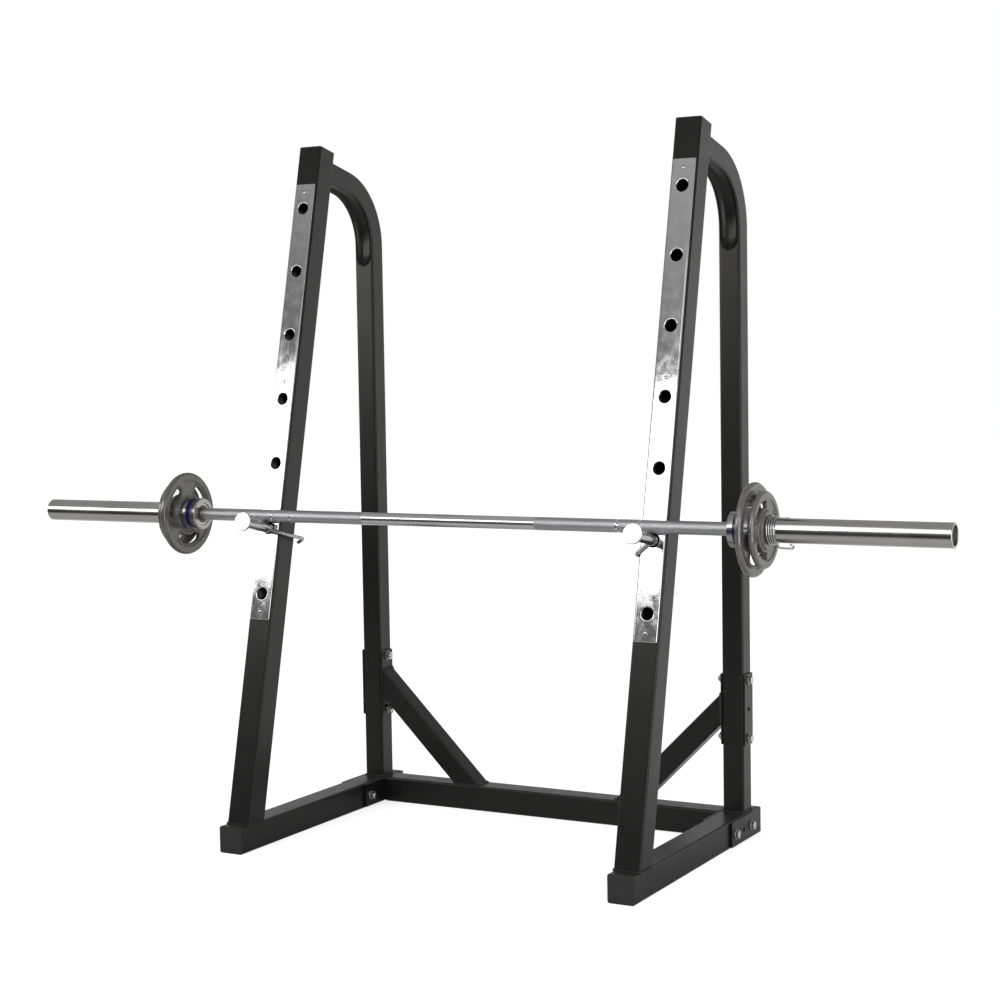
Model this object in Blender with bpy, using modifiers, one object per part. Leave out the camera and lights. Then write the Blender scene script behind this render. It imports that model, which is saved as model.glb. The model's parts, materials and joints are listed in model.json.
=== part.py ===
"""Squat rack with a loaded barbell, built as separate pieces in Blender.

Units are metres. X runs across the rack, Y from its front to its back and Z up.
The floor is Z = 0 and the middle of the rack is X = 0. Distances along Y are measured
from the front of the leg caps, and one empty moves the whole rack so that its footprint
is centred on the origin.
"""
import math

import bmesh
import bpy
from mathutils import Euler, Matrix, Vector

# Clearances
TOUCH_GAP = 0.0003
BOLT_PLAY = 0.0005
PIN_PLAY = 0.00125
PLATE_PLAY = 0.0004
SPRING_PLAY = 0.0004
SPRING_TURN_GAP = 0.0008

# Base legs and their front caps
FRAME_WIDTH = 1.016
LEG_SIZE = 0.060
LEG_LENGTH = 0.672
TUBE_WALL = 0.0025
TUBE_CORNER = 0.005
CAP_FLANGE = 0.003
CAP_PLUG_DEPTH = 0.018
CAP_ROUNDING = 0.001
CAP_EDGE_ANGLE = math.radians(60.0)

# Leaning front uprights, measured along their front face from the top of the leg
UPRIGHT_SIZE = 0.060
UPRIGHT_LENGTH = 1.570
UPRIGHT_LEAN = math.radians(12.85)
UPRIGHT_SETBACK = 0.029
HOLE_COUNT = 7
HOLE_PITCH = 0.150
FIRST_HOLE_HEIGHT = 0.519

# Chrome wear strip on each front upright, held by three rivets
STRIP_WIDTH = 0.052
STRIP_THICKNESS = 0.003
STRIP_FOOT_HEIGHT = 0.460
STRIP_LENGTH = 1.018
RIVET_END_INSET = 0.0185
RIVET_MIDDLE_HEIGHT = 1.009
RIVET_SHANK = 0.0048
RIVET_HEAD = 0.0085
RIVET_HEAD_HEIGHT = 0.0016
RIVET_SINK = 0.0002
RIVET_TAIL = 0.0070
RIVET_TAIL_LENGTH = 0.0030

# Bent rear uprights
REAR_SIZE = 0.050
REAR_LINE_Y = 0.624
REAR_BEND_RADIUS = 0.150
REAR_JOINT_DROP = 0.0465
BEND_STEPS = 8

# Rear crossbeam and the U-bent brackets that join it to the legs
CROSSBEAM_SIZE = 0.060
BRACKET_PLATE = 0.005
BRACKET_LENGTH = 0.179
BRACKET_HEIGHT = 0.056
BRACKET_FOOT = 0.003
BRACKET_BOLT_DROP = 0.0015
BRACKET_BEND_RADIUS = 0.003
BRACKET_FRONT_BOLT_INSET = 0.021
BRACKET_SPARE_HOLE_INSET = 0.070
BRACKET_REAR_BOLT_INSET = 0.115

# Diagonal braces and the plates that bolt them to the rear uprights
BRACE_SIZE = 0.050
BRACE_ANGLE = math.radians(45.0)
BRACE_JOINT_HEIGHT = 0.293
BRACE_PLATE = 0.004
BRACE_PLATE_WIDTH = 0.048
BRACE_PLATE_HEIGHT = 0.162
BRACE_PLATE_CORNER = 0.004
BRACE_BOLT_SPACING = 0.132

# Bolts, nuts and washers, all of one size
BOLT_DIAMETER = 0.010
HEX_ACROSS_FLATS = 0.017
BOLT_HEAD_HEIGHT = 0.0064
NUT_HEIGHT = 0.0080
WASHER_DIAMETER = 0.021
WASHER_THICKNESS = 0.002
BOLT_TAIL = 0.004

# Bar catches: a pin with an end disc, and a bent rod that locks it in its hole
CATCH_HOLE = 1
PIN_DIAMETER = 0.024
PIN_TAIL = 0.012
PIN_CHAMFER = 0.001
DISC_DIAMETER = 0.0425
DISC_THICKNESS = 0.005
DISC_REACH = 0.1015
DISC_CHAMFER = 0.0006
ROD_DIAMETER = 0.008
ROD_RADIUS_FROM_PIN = 0.046
ROD_BEND_RADIUS = 0.010
ROD_REACH_BEHIND = 0.078
ROD_HOOK_LENGTH = 0.020
ROD_HOOK_ANGLE = math.radians(45.0)
LEFT_ROD_TILT = math.radians(15.6)
RIGHT_ROD_TILT = math.radians(41.0)

# Barbell
BAR_LENGTH = 2.210
SHAFT_DIAMETER = 0.028
RING_MARK_PLACES = (0.405, 0.455)
RING_MARK_WIDTH = 0.004
RING_MARK_DEPTH = 0.0005
SLEEVE_DIAMETER = 0.050
SLEEVE_WALL = 0.005
COLLAR_INNER_X = 0.655
COLLAR_DIAMETER = 0.073
COLLAR_WIDTH = 0.039
COLLAR_RECESS = 0.002
COLLAR_CHAMFER = 0.0015
BAND_START = 0.014
BAND_WIDTH = 0.012
BAND_DEPTH = 0.0015
BUSHING_LENGTH = 0.028
END_PLUG_RECESS = 0.004
END_PLUG_THICKNESS = 0.006
END_PLUG_CHAMFER = 0.001
SHAFT_END_SPACE = 0.005
RETAINER_THICKNESS = 0.003
RETAINER_GROOVE = 0.0015
RETAINER_RIM = 0.003
RETAINER_INSET = 0.008

# Weight plates with three grip openings each; the hub is as thick as the plate, and the rim is thinner
LARGE_PLATE_DIAMETER = 0.190
LARGE_PLATE_THICKNESS = 0.0197
LARGE_HUB_DIAMETER = 0.078
LARGE_RIM_WIDTH = 0.017
LARGE_RIM_THICKNESS = 0.0134
LARGE_RIM_START = 0.0010
LARGE_GRIP_RADIUS = 0.060
LARGE_GRIP_WIDTH = 0.026
LARGE_GRIP_SPAN = math.radians(50.0)
LARGE_GRIP_START = math.radians(30.0)
SMALL_PLATE_DIAMETER = 0.156
SMALL_PLATE_THICKNESS = 0.0192
SMALL_HUB_DIAMETER = 0.076
SMALL_RIM_WIDTH = 0.014
SMALL_RIM_THICKNESS = 0.0116
SMALL_RIM_START = 0.0028
SMALL_GRIP_RADIUS = 0.0515
SMALL_GRIP_WIDTH = 0.019
SMALL_GRIP_SPAN = math.radians(50.0)
SMALL_GRIP_START = math.radians(0.0)
GRIP_COUNT = 3
PLATE_RECESS = 0.0028
PLATE_RECESS_SLOPE = 0.002
RIM_NOSE = 0.007

# Spring collars that keep the plates on the sleeves
SPRING_WIRE = 0.004
SPRING_TURNS = 3.417
SPRING_POINTS_PER_TURN = 10
SPRING_START_ANGLE = math.radians(180.0)
SPRING_HEAD_HANDLE = 0.012
SPRING_TAIL_HANDLE = 0.032
SPRING_HANDLE_LIFT = 0.0064

# Fineness of the round shapes
ROUND_STEPS = 20
SMALL_ROUND_STEPS = 12
HOLE_STEPS = 12
PLATE_STEPS = 24
BUSHING_STEPS = 16
ARC_STEPS = 4
CORNER_STEPS = 2
NOSE_STEPS = 4
GRIP_SWEEP_STEPS = 4
SHARP_ANGLE = math.radians(35.0)
WELD_DISTANCE = 0.00001

# Places worked out from the sizes above
SIDE_X = FRAME_WIDTH / 2 - LEG_SIZE / 2
LEG_FRONT_Y = CAP_FLANGE + TOUCH_GAP
LEG_REAR_Y = LEG_FRONT_Y + LEG_LENGTH
BRACKET_REAR_Y = LEG_REAR_Y + BRACKET_BEND_RADIUS + BRACKET_PLATE
BRACKET_FRONT_Y = BRACKET_REAR_Y - BRACKET_LENGTH
BRACKET_MIDDLE_Z = BRACKET_FOOT + BRACKET_HEIGHT / 2 - BRACKET_BOLT_DROP
BRACKET_HALF_WIDTH = LEG_SIZE / 2 + TOUCH_GAP + BRACKET_PLATE
BRACE_PLATE_REACH = REAR_SIZE / 2 + TOUCH_GAP + BRACE_PLATE
CATCH_HEIGHT = FIRST_HOLE_HEIGHT + CATCH_HOLE * HOLE_PITCH
STRIP_FRONT = TOUCH_GAP + STRIP_THICKNESS
BAR_OUT = STRIP_FRONT + TOUCH_GAP + SHAFT_DIAMETER / 2
BAR_UP = CATCH_HEIGHT + PIN_DIAMETER / 2 + TOUCH_GAP + SHAFT_DIAMETER / 2
SLEEVE_BORE = SLEEVE_DIAMETER / 2 - SLEEVE_WALL
COLLAR_OUTER_X = COLLAR_INNER_X + COLLAR_WIDTH
LARGE_PLATE_X = COLLAR_OUTER_X + TOUCH_GAP
SMALL_PLATE_X = LARGE_PLATE_X + LARGE_PLATE_THICKNESS + TOUCH_GAP
SPRING_X = SMALL_PLATE_X + SMALL_PLATE_THICKNESS + TOUCH_GAP
END_PLUG_X = BAR_LENGTH / 2 - END_PLUG_RECESS - END_PLUG_THICKNESS
SHAFT_END_X = END_PLUG_X - SHAFT_END_SPACE
RETAINER_X = SHAFT_END_X - RETAINER_INSET

# Turns that stand a flat sketch up: its X and Y become these directions of the rack
PLAN_VIEW = (0.0, 0.0, 0.0)
SIDE_VIEW = (math.pi / 2, 0.0, math.pi / 2)
FRONT_VIEW = (math.pi / 2, 0.0, 0.0)
ALONG_RIGHT = (0.0, math.pi / 2, 0.0)
ALONG_LEFT = (0.0, -math.pi / 2, 0.0)
ALONG_BACK = (-math.pi / 2, 0.0, 0.0)

SIDES = (("left", -1, ALONG_LEFT), ("right", 1, ALONG_RIGHT))


def start_scene():
    """Empty the scene and make one collection for the pieces and one for the cutters."""
    for item in list(bpy.data.objects):
        bpy.data.objects.remove(item, do_unlink=True)
    for item in list(bpy.data.collections):
        bpy.data.collections.remove(item)
    made = []
    for name in ("power_rack", "cutters"):
        collection = bpy.data.collections.new(name)
        bpy.context.scene.collection.children.link(collection)
        made.append(collection)
    return made


PIECES, CUTTERS = start_scene()


def finish(name, colour, roughness, metallic):
    """One plain material."""
    material = bpy.data.materials.new(name)
    material.use_nodes = True
    shader = material.node_tree.nodes["Principled BSDF"]
    shader.inputs["Base Color"].default_value = (*colour, 1.0)
    shader.inputs["Roughness"].default_value = roughness
    shader.inputs["Metallic"].default_value = metallic
    material.diffuse_color = (*colour, 1.0)
    return material


BLACK_PAINT = finish("black_powder_coat", (0.020, 0.020, 0.021), 0.45, 0.0)
BLACK_PLASTIC = finish("black_plastic", (0.022, 0.022, 0.023), 0.60, 0.0)
CHROME = finish("bright_chrome", (0.72, 0.72, 0.73), 0.12, 1.0)
ZINC = finish("zinc_plated_steel", (0.62, 0.62, 0.62), 0.28, 1.0)
SATIN_STEEL = finish("satin_knurled_steel", (0.55, 0.55, 0.56), 0.38, 1.0)
CAST_IRON = finish("hammertone_grey_iron", (0.21, 0.21, 0.21), 0.42, 0.6)
BLUE_BAND = finish("blue_ring", (0.05, 0.09, 0.42), 0.35, 0.0)
BRONZE = finish("bronze_bushing", (0.50, 0.33, 0.14), 0.35, 1.0)


def add(name, data, material=None, parent=None, place=(0.0, 0.0, 0.0), turn=PLAN_VIEW):
    """Put a piece of data in the rack as a named object."""
    item = bpy.data.objects.new(name, data)
    PIECES.objects.link(item)
    item.parent = parent
    item.location = place
    item.rotation_euler = turn
    if material is not None:
        data.materials.append(material)
    return item


def add_cutter(name, mesh, parent=None, place=(0.0, 0.0, 0.0), turn=PLAN_VIEW):
    """Put a hidden cutting or joining shape in the scene."""
    item = bpy.data.objects.new(name, mesh)
    CUTTERS.objects.link(item)
    item.parent = parent
    item.location = place
    item.rotation_euler = turn
    item.hide_render = True
    item.display_type = "WIRE"
    return item


def boolean(item, tool, operation="DIFFERENCE"):
    """Cut a tool out of a piece, or join it on."""
    change = item.modifiers.new(tool.name, "BOOLEAN")
    change.operation = operation
    change.object = tool
    change.solver = "EXACT"


def weld(mesh):
    """Join loose caps to their walls, turn the faces outwards and shade round parts smooth."""
    work = bmesh.new()
    work.from_mesh(mesh)
    bmesh.ops.remove_doubles(work, verts=work.verts, dist=WELD_DISTANCE)
    bmesh.ops.recalc_face_normals(work, faces=work.faces)
    work.to_mesh(mesh)
    work.free()
    mesh.shade_smooth()
    mesh.set_sharp_from_angle(angle=SHARP_ANGLE)


def read_mesh(item):
    """The evaluated mesh of an object, which is then removed."""
    bpy.context.view_layer.update()
    graph = bpy.context.evaluated_depsgraph_get()
    mesh = bpy.data.meshes.new_from_object(item.evaluated_get(graph))
    bpy.data.objects.remove(item)
    return mesh


def sketch(name, loops, closed=True, dimensions="2D"):
    """A curve made of straight-sided loops."""
    curve = bpy.data.curves.new(name, "CURVE")
    curve.dimensions = dimensions
    for points in loops:
        spline = curve.splines.new("POLY")
        spline.points.add(len(points) - 1)
        for slot, point in zip(spline.points, points):
            x, y, z = (*point, 0.0)[:3]
            slot.co = (x, y, z, 1.0)
        spline.use_cyclic_u = closed
    return curve


def plate_mesh(name, loops, thickness):
    """A flat outline with holes, given a thickness about its own plane."""
    curve = sketch(name, loops)
    curve.fill_mode = "BOTH"
    curve.extrude = thickness / 2
    mesh = read_mesh(add(name + "_sketch", curve))
    weld(mesh)
    return mesh


def rounded_square(size, corner):
    """Outline of a square with rounded corners, centred on its origin."""
    points = []
    for quarter in range(4):
        middle = Vector((size / 2 - corner, size / 2 - corner))
        middle.rotate(Matrix.Rotation(quarter * math.pi / 2, 2))
        for step in range(CORNER_STEPS + 1):
            angle = (quarter + step / CORNER_STEPS) * math.pi / 2
            points.append((middle.x + corner * math.cos(angle), middle.y + corner * math.sin(angle)))
    return points


def square_tube(name, path, size, parent, place, turn, wall=TUBE_WALL):
    """A hollow square tube swept along a flat path, painted black."""
    section = add(name + "_section", sketch(name + "_section", [rounded_square(size, TUBE_CORNER)]))
    rail = sketch(name + "_rail", [path], closed=False)
    rail.fill_mode = "NONE"
    rail.bevel_mode = "OBJECT"
    rail.bevel_object = section
    mesh = read_mesh(add(name + "_rail", rail))
    bpy.data.objects.remove(section)
    weld(mesh)
    mesh.name = name
    tube = add(name, mesh, BLACK_PAINT, parent, place, turn)
    shell = tube.modifiers.new("wall", "SOLIDIFY")
    shell.thickness = wall
    shell.offset = -1.0
    shell.use_even_offset = True
    return tube


def turned_mesh(name, profile, steps, ring=False):
    """A profile of (radius, height) points turned about the Z axis."""
    mesh = bpy.data.meshes.new(name)
    edges = [(index, index + 1) for index in range(len(profile) - 1)]
    if ring:
        edges.append((len(profile) - 1, 0))
    mesh.from_pydata([(radius, 0.0, height) for radius, height in profile], edges, [])
    item = add(name + "_profile", mesh)
    screw = item.modifiers.new("turn", "SCREW")
    screw.steps = steps
    screw.render_steps = steps
    screw.use_merge_vertices = True
    screw.merge_threshold = WELD_DISTANCE
    solid = read_mesh(item)
    weld(solid)
    return solid


def ring_profile(inner, outer, low, high):
    """Profile of a plain ring."""
    return [(inner, high), (outer, high), (outer, low), (inner, low)]


def drill(item, spots, diameter, depth, turn, steps=HOLE_STEPS):
    """Drill round holes through a piece, at places in its parent's frame."""
    mesh = bpy.data.meshes.new(item.name + "_drill")
    work = bmesh.new()
    facing = Euler(turn).to_matrix().to_4x4()
    for spot in spots:
        bmesh.ops.create_cone(
            work, cap_ends=True, segments=steps, radius1=diameter / 2, radius2=diameter / 2,
            depth=depth, matrix=Matrix.Translation(spot) @ facing)
    work.to_mesh(mesh)
    work.free()
    boolean(item, add_cutter(mesh.name, mesh, item.parent))


def box_mesh(name, low, high):
    """A plain box between two corners."""
    mesh = bpy.data.meshes.new(name)
    work = bmesh.new()
    size = Vector(high) - Vector(low)
    middle = (Vector(high) + Vector(low)) / 2
    bmesh.ops.create_cube(work, size=1.0, matrix=Matrix.Translation(middle) @ Matrix.Diagonal((*size, 1.0)))
    work.to_mesh(mesh)
    work.free()
    return mesh


def copies_mesh(name, mesh, places):
    """One mesh that holds a copy of another at each place."""
    work = bmesh.new()
    for place in places:
        copy = mesh.copy()
        copy.transform(place)
        work.from_mesh(copy)
        bpy.data.meshes.remove(copy)
    joined = bpy.data.meshes.new(name)
    work.to_mesh(joined)
    work.free()
    return joined


def empty(name, parent=None, place=(0.0, 0.0, 0.0), turn=PLAN_VIEW):
    """A marker that carries pieces or stands on a joint's axis."""
    item = add(name, None, None, parent, place, turn)
    item.empty_display_size = 0.05
    return item


def end_cap(name, parent, place, turn, size):
    """Plastic cap of a square tube: a flange outside and a plug inside, along local Z."""
    flange = plate_mesh(name, [rounded_square(size, TUBE_CORNER)], CAP_FLANGE)
    cap = add(name, flange, BLACK_PLASTIC, parent, place, turn)
    edge = cap.modifiers.new("rounding", "BEVEL")
    edge.width = CAP_ROUNDING
    edge.segments = 1
    edge.limit_method = "ANGLE"
    edge.angle_limit = CAP_EDGE_ANGLE
    plug_size = size - 2 * (TUBE_WALL + TOUCH_GAP)
    plug_corner = TUBE_CORNER - TUBE_WALL
    overlap = CAP_FLANGE / 2
    plug = plate_mesh(name + "_plug", [rounded_square(plug_size, plug_corner)], CAP_PLUG_DEPTH + overlap)
    down = Vector((0.0, 0.0, -CAP_FLANGE / 2 - CAP_PLUG_DEPTH / 2 + overlap / 2))
    down.rotate(Euler(turn))
    boolean(cap, add_cutter(name + "_plug", plug, parent, Vector(place) + down, turn), "UNION")
    return cap


def make_leg(side, sign, root):
    """Base leg with its bolt holes and its front cap."""
    middle = LEG_SIZE / 2
    path = [(LEG_FRONT_Y, middle), (LEG_REAR_Y, middle)]
    leg = square_tube(side + "_base_leg", path, LEG_SIZE, root, (sign * SIDE_X, 0.0, 0.0), SIDE_VIEW)
    spots = [(sign * SIDE_X, y, BRACKET_MIDDLE_Z) for y in leg_bolt_places()]
    drill(leg, spots, BOLT_DIAMETER + 2 * BOLT_PLAY, 2 * LEG_SIZE, ALONG_RIGHT, SMALL_ROUND_STEPS)
    end_cap(side + "_leg_cap", root, (sign * SIDE_X, CAP_FLANGE / 2, middle), FRONT_VIEW, LEG_SIZE)


def leg_bolt_places():
    """Where the two bracket bolts cross each leg, along Y."""
    return (BRACKET_FRONT_Y + BRACKET_FRONT_BOLT_INSET, BRACKET_FRONT_Y + BRACKET_REAR_BOLT_INSET)


def make_front_upright(side, sign, root):
    """Leaning front upright with its cap, strip and rivets. Returns the empty they hang on."""
    frame = empty(side + "_upright_frame", root, (sign * SIDE_X, UPRIGHT_SETBACK, LEG_SIZE),
                  (-UPRIGHT_LEAN, 0.0, 0.0))
    middle = UPRIGHT_SIZE / 2
    tube_top = UPRIGHT_LENGTH - CAP_FLANGE - TOUCH_GAP
    foot_overrun = 0.010
    upright = square_tube(side + "_front_upright", [(middle, -foot_overrun), (middle, tube_top)],
                          UPRIGHT_SIZE, frame, (0.0, 0.0, 0.0), SIDE_VIEW)
    far = UPRIGHT_SIZE
    floor_cut = box_mesh(side + "_foot_cut", (sign * SIDE_X - far, UPRIGHT_SETBACK - far, 0.0),
                         (sign * SIDE_X + far, UPRIGHT_SETBACK + 2 * far, LEG_SIZE + TOUCH_GAP))
    boolean(upright, add_cutter(side + "_foot_cut", floor_cut, root))
    hole_diameter = PIN_DIAMETER + 2 * PIN_PLAY
    heights = [FIRST_HOLE_HEIGHT + index * HOLE_PITCH for index in range(HOLE_COUNT)]
    spots = [(0.0, middle, height) for height in heights]
    drill(upright, spots, hole_diameter, 2 * UPRIGHT_SIZE, ALONG_BACK)
    end_cap(side + "_top_cap", frame, (0.0, middle, UPRIGHT_LENGTH - CAP_FLANGE / 2), PLAN_VIEW, UPRIGHT_SIZE)

    strip = add(side + "_wear_strip", box_mesh(
        side + "_wear_strip", (-STRIP_WIDTH / 2, -STRIP_FRONT, STRIP_FOOT_HEIGHT),
        (STRIP_WIDTH / 2, -TOUCH_GAP, STRIP_FOOT_HEIGHT + STRIP_LENGTH)), CHROME, frame)
    drill(strip, [(0.0, 0.0, height) for height in heights], hole_diameter, UPRIGHT_SIZE, ALONG_BACK)
    strip_top = STRIP_FOOT_HEIGHT + STRIP_LENGTH
    rivets = (STRIP_FOOT_HEIGHT + RIVET_END_INSET, RIVET_MIDDLE_HEIGHT, strip_top - RIVET_END_INSET)
    rivet_spots = [(0.0, 0.0, height) for height in rivets]
    rivet_hole = RIVET_SHANK + 2 * TOUCH_GAP
    drill(upright, rivet_spots, rivet_hole, UPRIGHT_SIZE / 2, ALONG_BACK, SMALL_ROUND_STEPS)
    facing = Euler(FRONT_VIEW).to_matrix().to_4x4()
    rivets = copies_mesh(side + "_rivets", rivet_mesh(), [
        Matrix.Translation(spot) @ facing for spot in rivet_spots])
    boolean(strip, add_cutter(side + "_rivets", rivets, frame), "UNION")
    return frame


def rivet_mesh():
    """Domed rivet, set into the strip and through the front wall, its head towards local +Z."""
    base = STRIP_FRONT - RIVET_SINK
    inside = -TUBE_WALL - TOUCH_GAP
    dome = [(RIVET_HEAD / 2 * math.sin(angle), base + RIVET_HEAD_HEIGHT * math.cos(angle))
            for angle in (0.0, math.radians(35.0), math.radians(65.0), math.radians(90.0))]
    profile = dome + [
        (RIVET_SHANK / 2, base),
        (RIVET_SHANK / 2, inside),
        (RIVET_TAIL / 2, inside),
        (RIVET_TAIL / 2, inside - RIVET_TAIL_LENGTH),
        (0.0, inside - RIVET_TAIL_LENGTH)]
    return turned_mesh("rivet", profile, SMALL_ROUND_STEPS)


def rear_upright_path():
    """Centre line of a rear upright in (Y, Z): a short stub, the bend and the straight post."""
    lean = UPRIGHT_LEAN
    height = UPRIGHT_LENGTH - REAR_JOINT_DROP
    start = Vector((UPRIGHT_SETBACK + height * math.sin(lean) + UPRIGHT_SIZE * math.cos(lean),
                    LEG_SIZE + height * math.cos(lean) - UPRIGHT_SIZE * math.sin(lean)))
    along = Vector((math.cos(lean), -math.sin(lean)))
    turn = math.pi / 2 - lean
    corner = start + along * ((REAR_LINE_Y - start.x) / along.x)
    tangent = REAR_BEND_RADIUS * math.tan(turn / 2)
    centre = Vector((REAR_LINE_Y - REAR_BEND_RADIUS, corner.y - tangent))
    points = [start + along * TOUCH_GAP]
    for step in range(BEND_STEPS + 1):
        angle = turn * (1 - step / BEND_STEPS)
        points.append(centre + REAR_BEND_RADIUS * Vector((math.cos(angle), math.sin(angle))))
    points.append(Vector((REAR_LINE_Y, LEG_SIZE + TOUCH_GAP)))
    return [tuple(point) for point in points]


def brace_bolt_places():
    """Heights of the two bolts through each brace joint."""
    return (BRACE_JOINT_HEIGHT - BRACE_BOLT_SPACING / 2, BRACE_JOINT_HEIGHT + BRACE_BOLT_SPACING / 2)


def make_rear_upright(side, sign, root):
    """Bent rear upright, with the bolt holes of the brace joint."""
    post = square_tube(side + "_rear_upright", rear_upright_path(), REAR_SIZE, root,
                       (sign * SIDE_X, 0.0, 0.0), SIDE_VIEW)
    spots = [(sign * SIDE_X, REAR_LINE_Y, height) for height in brace_bolt_places()]
    drill(post, spots, BOLT_DIAMETER + 2 * BOLT_PLAY, 2 * REAR_SIZE, ALONG_RIGHT, SMALL_ROUND_STEPS)


def make_crossbeam(root):
    """Rear crossbeam between the inner plates of the end brackets."""
    reach = SIDE_X - BRACKET_HALF_WIDTH - TOUCH_GAP
    middle = CROSSBEAM_SIZE / 2
    square_tube("rear_crossbeam", [(-reach, middle), (reach, middle)], CROSSBEAM_SIZE, root,
                (0.0, REAR_LINE_Y, 0.0), FRONT_VIEW)


def make_end_bracket(side, sign, root):
    """Plate bent round the rear end of a leg, open to the front.

    The nut of its rear bolt is welded to the inner plate, inside the crossbeam's end.
    """
    outer = BRACKET_HALF_WIDTH
    inner = BRACKET_HALF_WIDTH - BRACKET_PLATE
    outer_bend = BRACKET_BEND_RADIUS + BRACKET_PLATE
    arc = [math.radians(90.0) * step / ARC_STEPS for step in range(ARC_STEPS + 1)]
    outline = [(outer, BRACKET_FRONT_Y)]
    outline += [(outer - outer_bend + outer_bend * math.cos(angle),
                 BRACKET_REAR_Y - outer_bend + outer_bend * math.sin(angle)) for angle in arc]
    outline += [(-x, y) for x, y in reversed(outline)]
    web = BRACKET_REAR_Y - BRACKET_PLATE
    pocket = [(inner, BRACKET_FRONT_Y)]
    pocket += [(inner - BRACKET_BEND_RADIUS + BRACKET_BEND_RADIUS * math.cos(angle),
                web - BRACKET_BEND_RADIUS + BRACKET_BEND_RADIUS * math.sin(angle)) for angle in arc]
    pocket += [(-x, y) for x, y in reversed(pocket)]
    mesh = plate_mesh(side + "_end_bracket", [outline + list(reversed(pocket))], BRACKET_HEIGHT)
    place = (sign * SIDE_X, 0.0, BRACKET_FOOT + BRACKET_HEIGHT / 2)
    bracket = add(side + "_end_bracket", mesh, BLACK_PAINT, root, place)
    weld_nut = hexagon_mesh(side + "_weld_nut", -BRACKET_PLATE / 2, NUT_HEIGHT)
    nut_place = (sign * (SIDE_X - BRACKET_HALF_WIDTH), leg_bolt_places()[1], BRACKET_MIDDLE_Z)
    facing = ALONG_LEFT if sign > 0 else ALONG_RIGHT
    boolean(bracket, add_cutter(side + "_weld_nut", weld_nut, root, nut_place, facing), "UNION")
    holes = leg_bolt_places() + (BRACKET_FRONT_Y + BRACKET_SPARE_HOLE_INSET,)
    spots = [(sign * SIDE_X, y, BRACKET_MIDDLE_Z) for y in holes]
    drill(bracket, spots, BOLT_DIAMETER + 2 * BOLT_PLAY, 2 * LEG_SIZE, ALONG_RIGHT, SMALL_ROUND_STEPS)


def make_brace(side, sign, root):
    """Diagonal brace from the crossbeam to the inner plate on the rear upright."""
    wall_x = SIDE_X - BRACE_PLATE_REACH
    rise = BRACE_JOINT_HEIGHT - CROSSBEAM_SIZE
    run = rise / math.tan(BRACE_ANGLE)
    overrun = BRACE_SIZE
    slope = Vector((math.cos(BRACE_ANGLE), math.sin(BRACE_ANGLE)))
    low = Vector((wall_x - run, CROSSBEAM_SIZE)) - slope * overrun
    high = Vector((wall_x, BRACE_JOINT_HEIGHT)) + slope * overrun
    path = [(sign * low.x, low.y), (sign * high.x, high.y)]
    brace = square_tube(side + "_brace", path, BRACE_SIZE, root, (0.0, REAR_LINE_Y, 0.0), FRONT_VIEW)
    far = 4 * BRACE_SIZE
    near_x = sign * (wall_x - TOUCH_GAP)
    far_x = sign * (wall_x + far)
    wall_cut = box_mesh(side + "_brace_wall_cut",
                        (min(near_x, far_x), REAR_LINE_Y - BRACE_SIZE, 0.0),
                        (max(near_x, far_x), REAR_LINE_Y + BRACE_SIZE, BRACE_JOINT_HEIGHT + far))
    boolean(brace, add_cutter(side + "_brace_wall_cut", wall_cut, root))
    floor_cut = box_mesh(side + "_brace_floor_cut",
                         (-SIDE_X, REAR_LINE_Y - BRACE_SIZE, -far),
                         (SIDE_X, REAR_LINE_Y + BRACE_SIZE, CROSSBEAM_SIZE + TOUCH_GAP))
    boolean(brace, add_cutter(side + "_brace_floor_cut", floor_cut, root))


def make_brace_plates(side, sign, root):
    """Inner and outer plate that clamp the rear upright at the brace joint."""
    corner = BRACE_PLATE_CORNER
    outline = []
    for quarter, (x_sign, y_sign) in enumerate(((1, 1), (-1, 1), (-1, -1), (1, -1))):
        middle_x = x_sign * (BRACE_PLATE_WIDTH / 2 - corner)
        middle_y = y_sign * (BRACE_PLATE_HEIGHT / 2 - corner)
        for step in range(CORNER_STEPS + 1):
            angle = (quarter + step / CORNER_STEPS) * math.pi / 2
            outline.append((middle_x + corner * math.cos(angle), middle_y + corner * math.sin(angle)))
    offset = REAR_SIZE / 2 + TOUCH_GAP + BRACE_PLATE / 2
    heights = (BRACE_JOINT_HEIGHT,) + brace_bolt_places()
    for label, way in (("inner", -1), ("outer", 1)):
        name = side + "_brace_" + label + "_plate"
        x = sign * (SIDE_X + way * offset)
        mesh = plate_mesh(name, [outline], BRACE_PLATE)
        plate = add(name, mesh, BLACK_PAINT, root, (x, REAR_LINE_Y, BRACE_JOINT_HEIGHT), SIDE_VIEW)
        holes = heights if label == "outer" else brace_bolt_places()
        spots = [(x, REAR_LINE_Y, height) for height in holes]
        drill(plate, spots, BOLT_DIAMETER + 2 * BOLT_PLAY, 4 * BRACE_PLATE, ALONG_RIGHT, SMALL_ROUND_STEPS)


def hexagon_mesh(name, low, high):
    """A hexagonal prism between two heights."""
    mesh = bpy.data.meshes.new(name)
    work = bmesh.new()
    corner = HEX_ACROSS_FLATS / math.sqrt(3.0)
    bmesh.ops.create_cone(
        work, cap_ends=True, segments=6, radius1=corner, radius2=corner, depth=high - low,
        matrix=Matrix.Translation((0.0, 0.0, (low + high) / 2)))
    work.to_mesh(mesh)
    work.free()
    return mesh


def joined_mesh(name, body, tool_mesh, operation):
    """One mesh with another joined on or cut out, worked out once and shared by its copies."""
    item = add(name + "_shape", body)
    tool = add_cutter(name + "_tool", tool_mesh)
    boolean(item, tool, operation)
    mesh = read_mesh(item)
    bpy.data.objects.remove(tool)
    mesh.set_sharp_from_angle(angle=SHARP_ANGLE)
    return mesh


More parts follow.
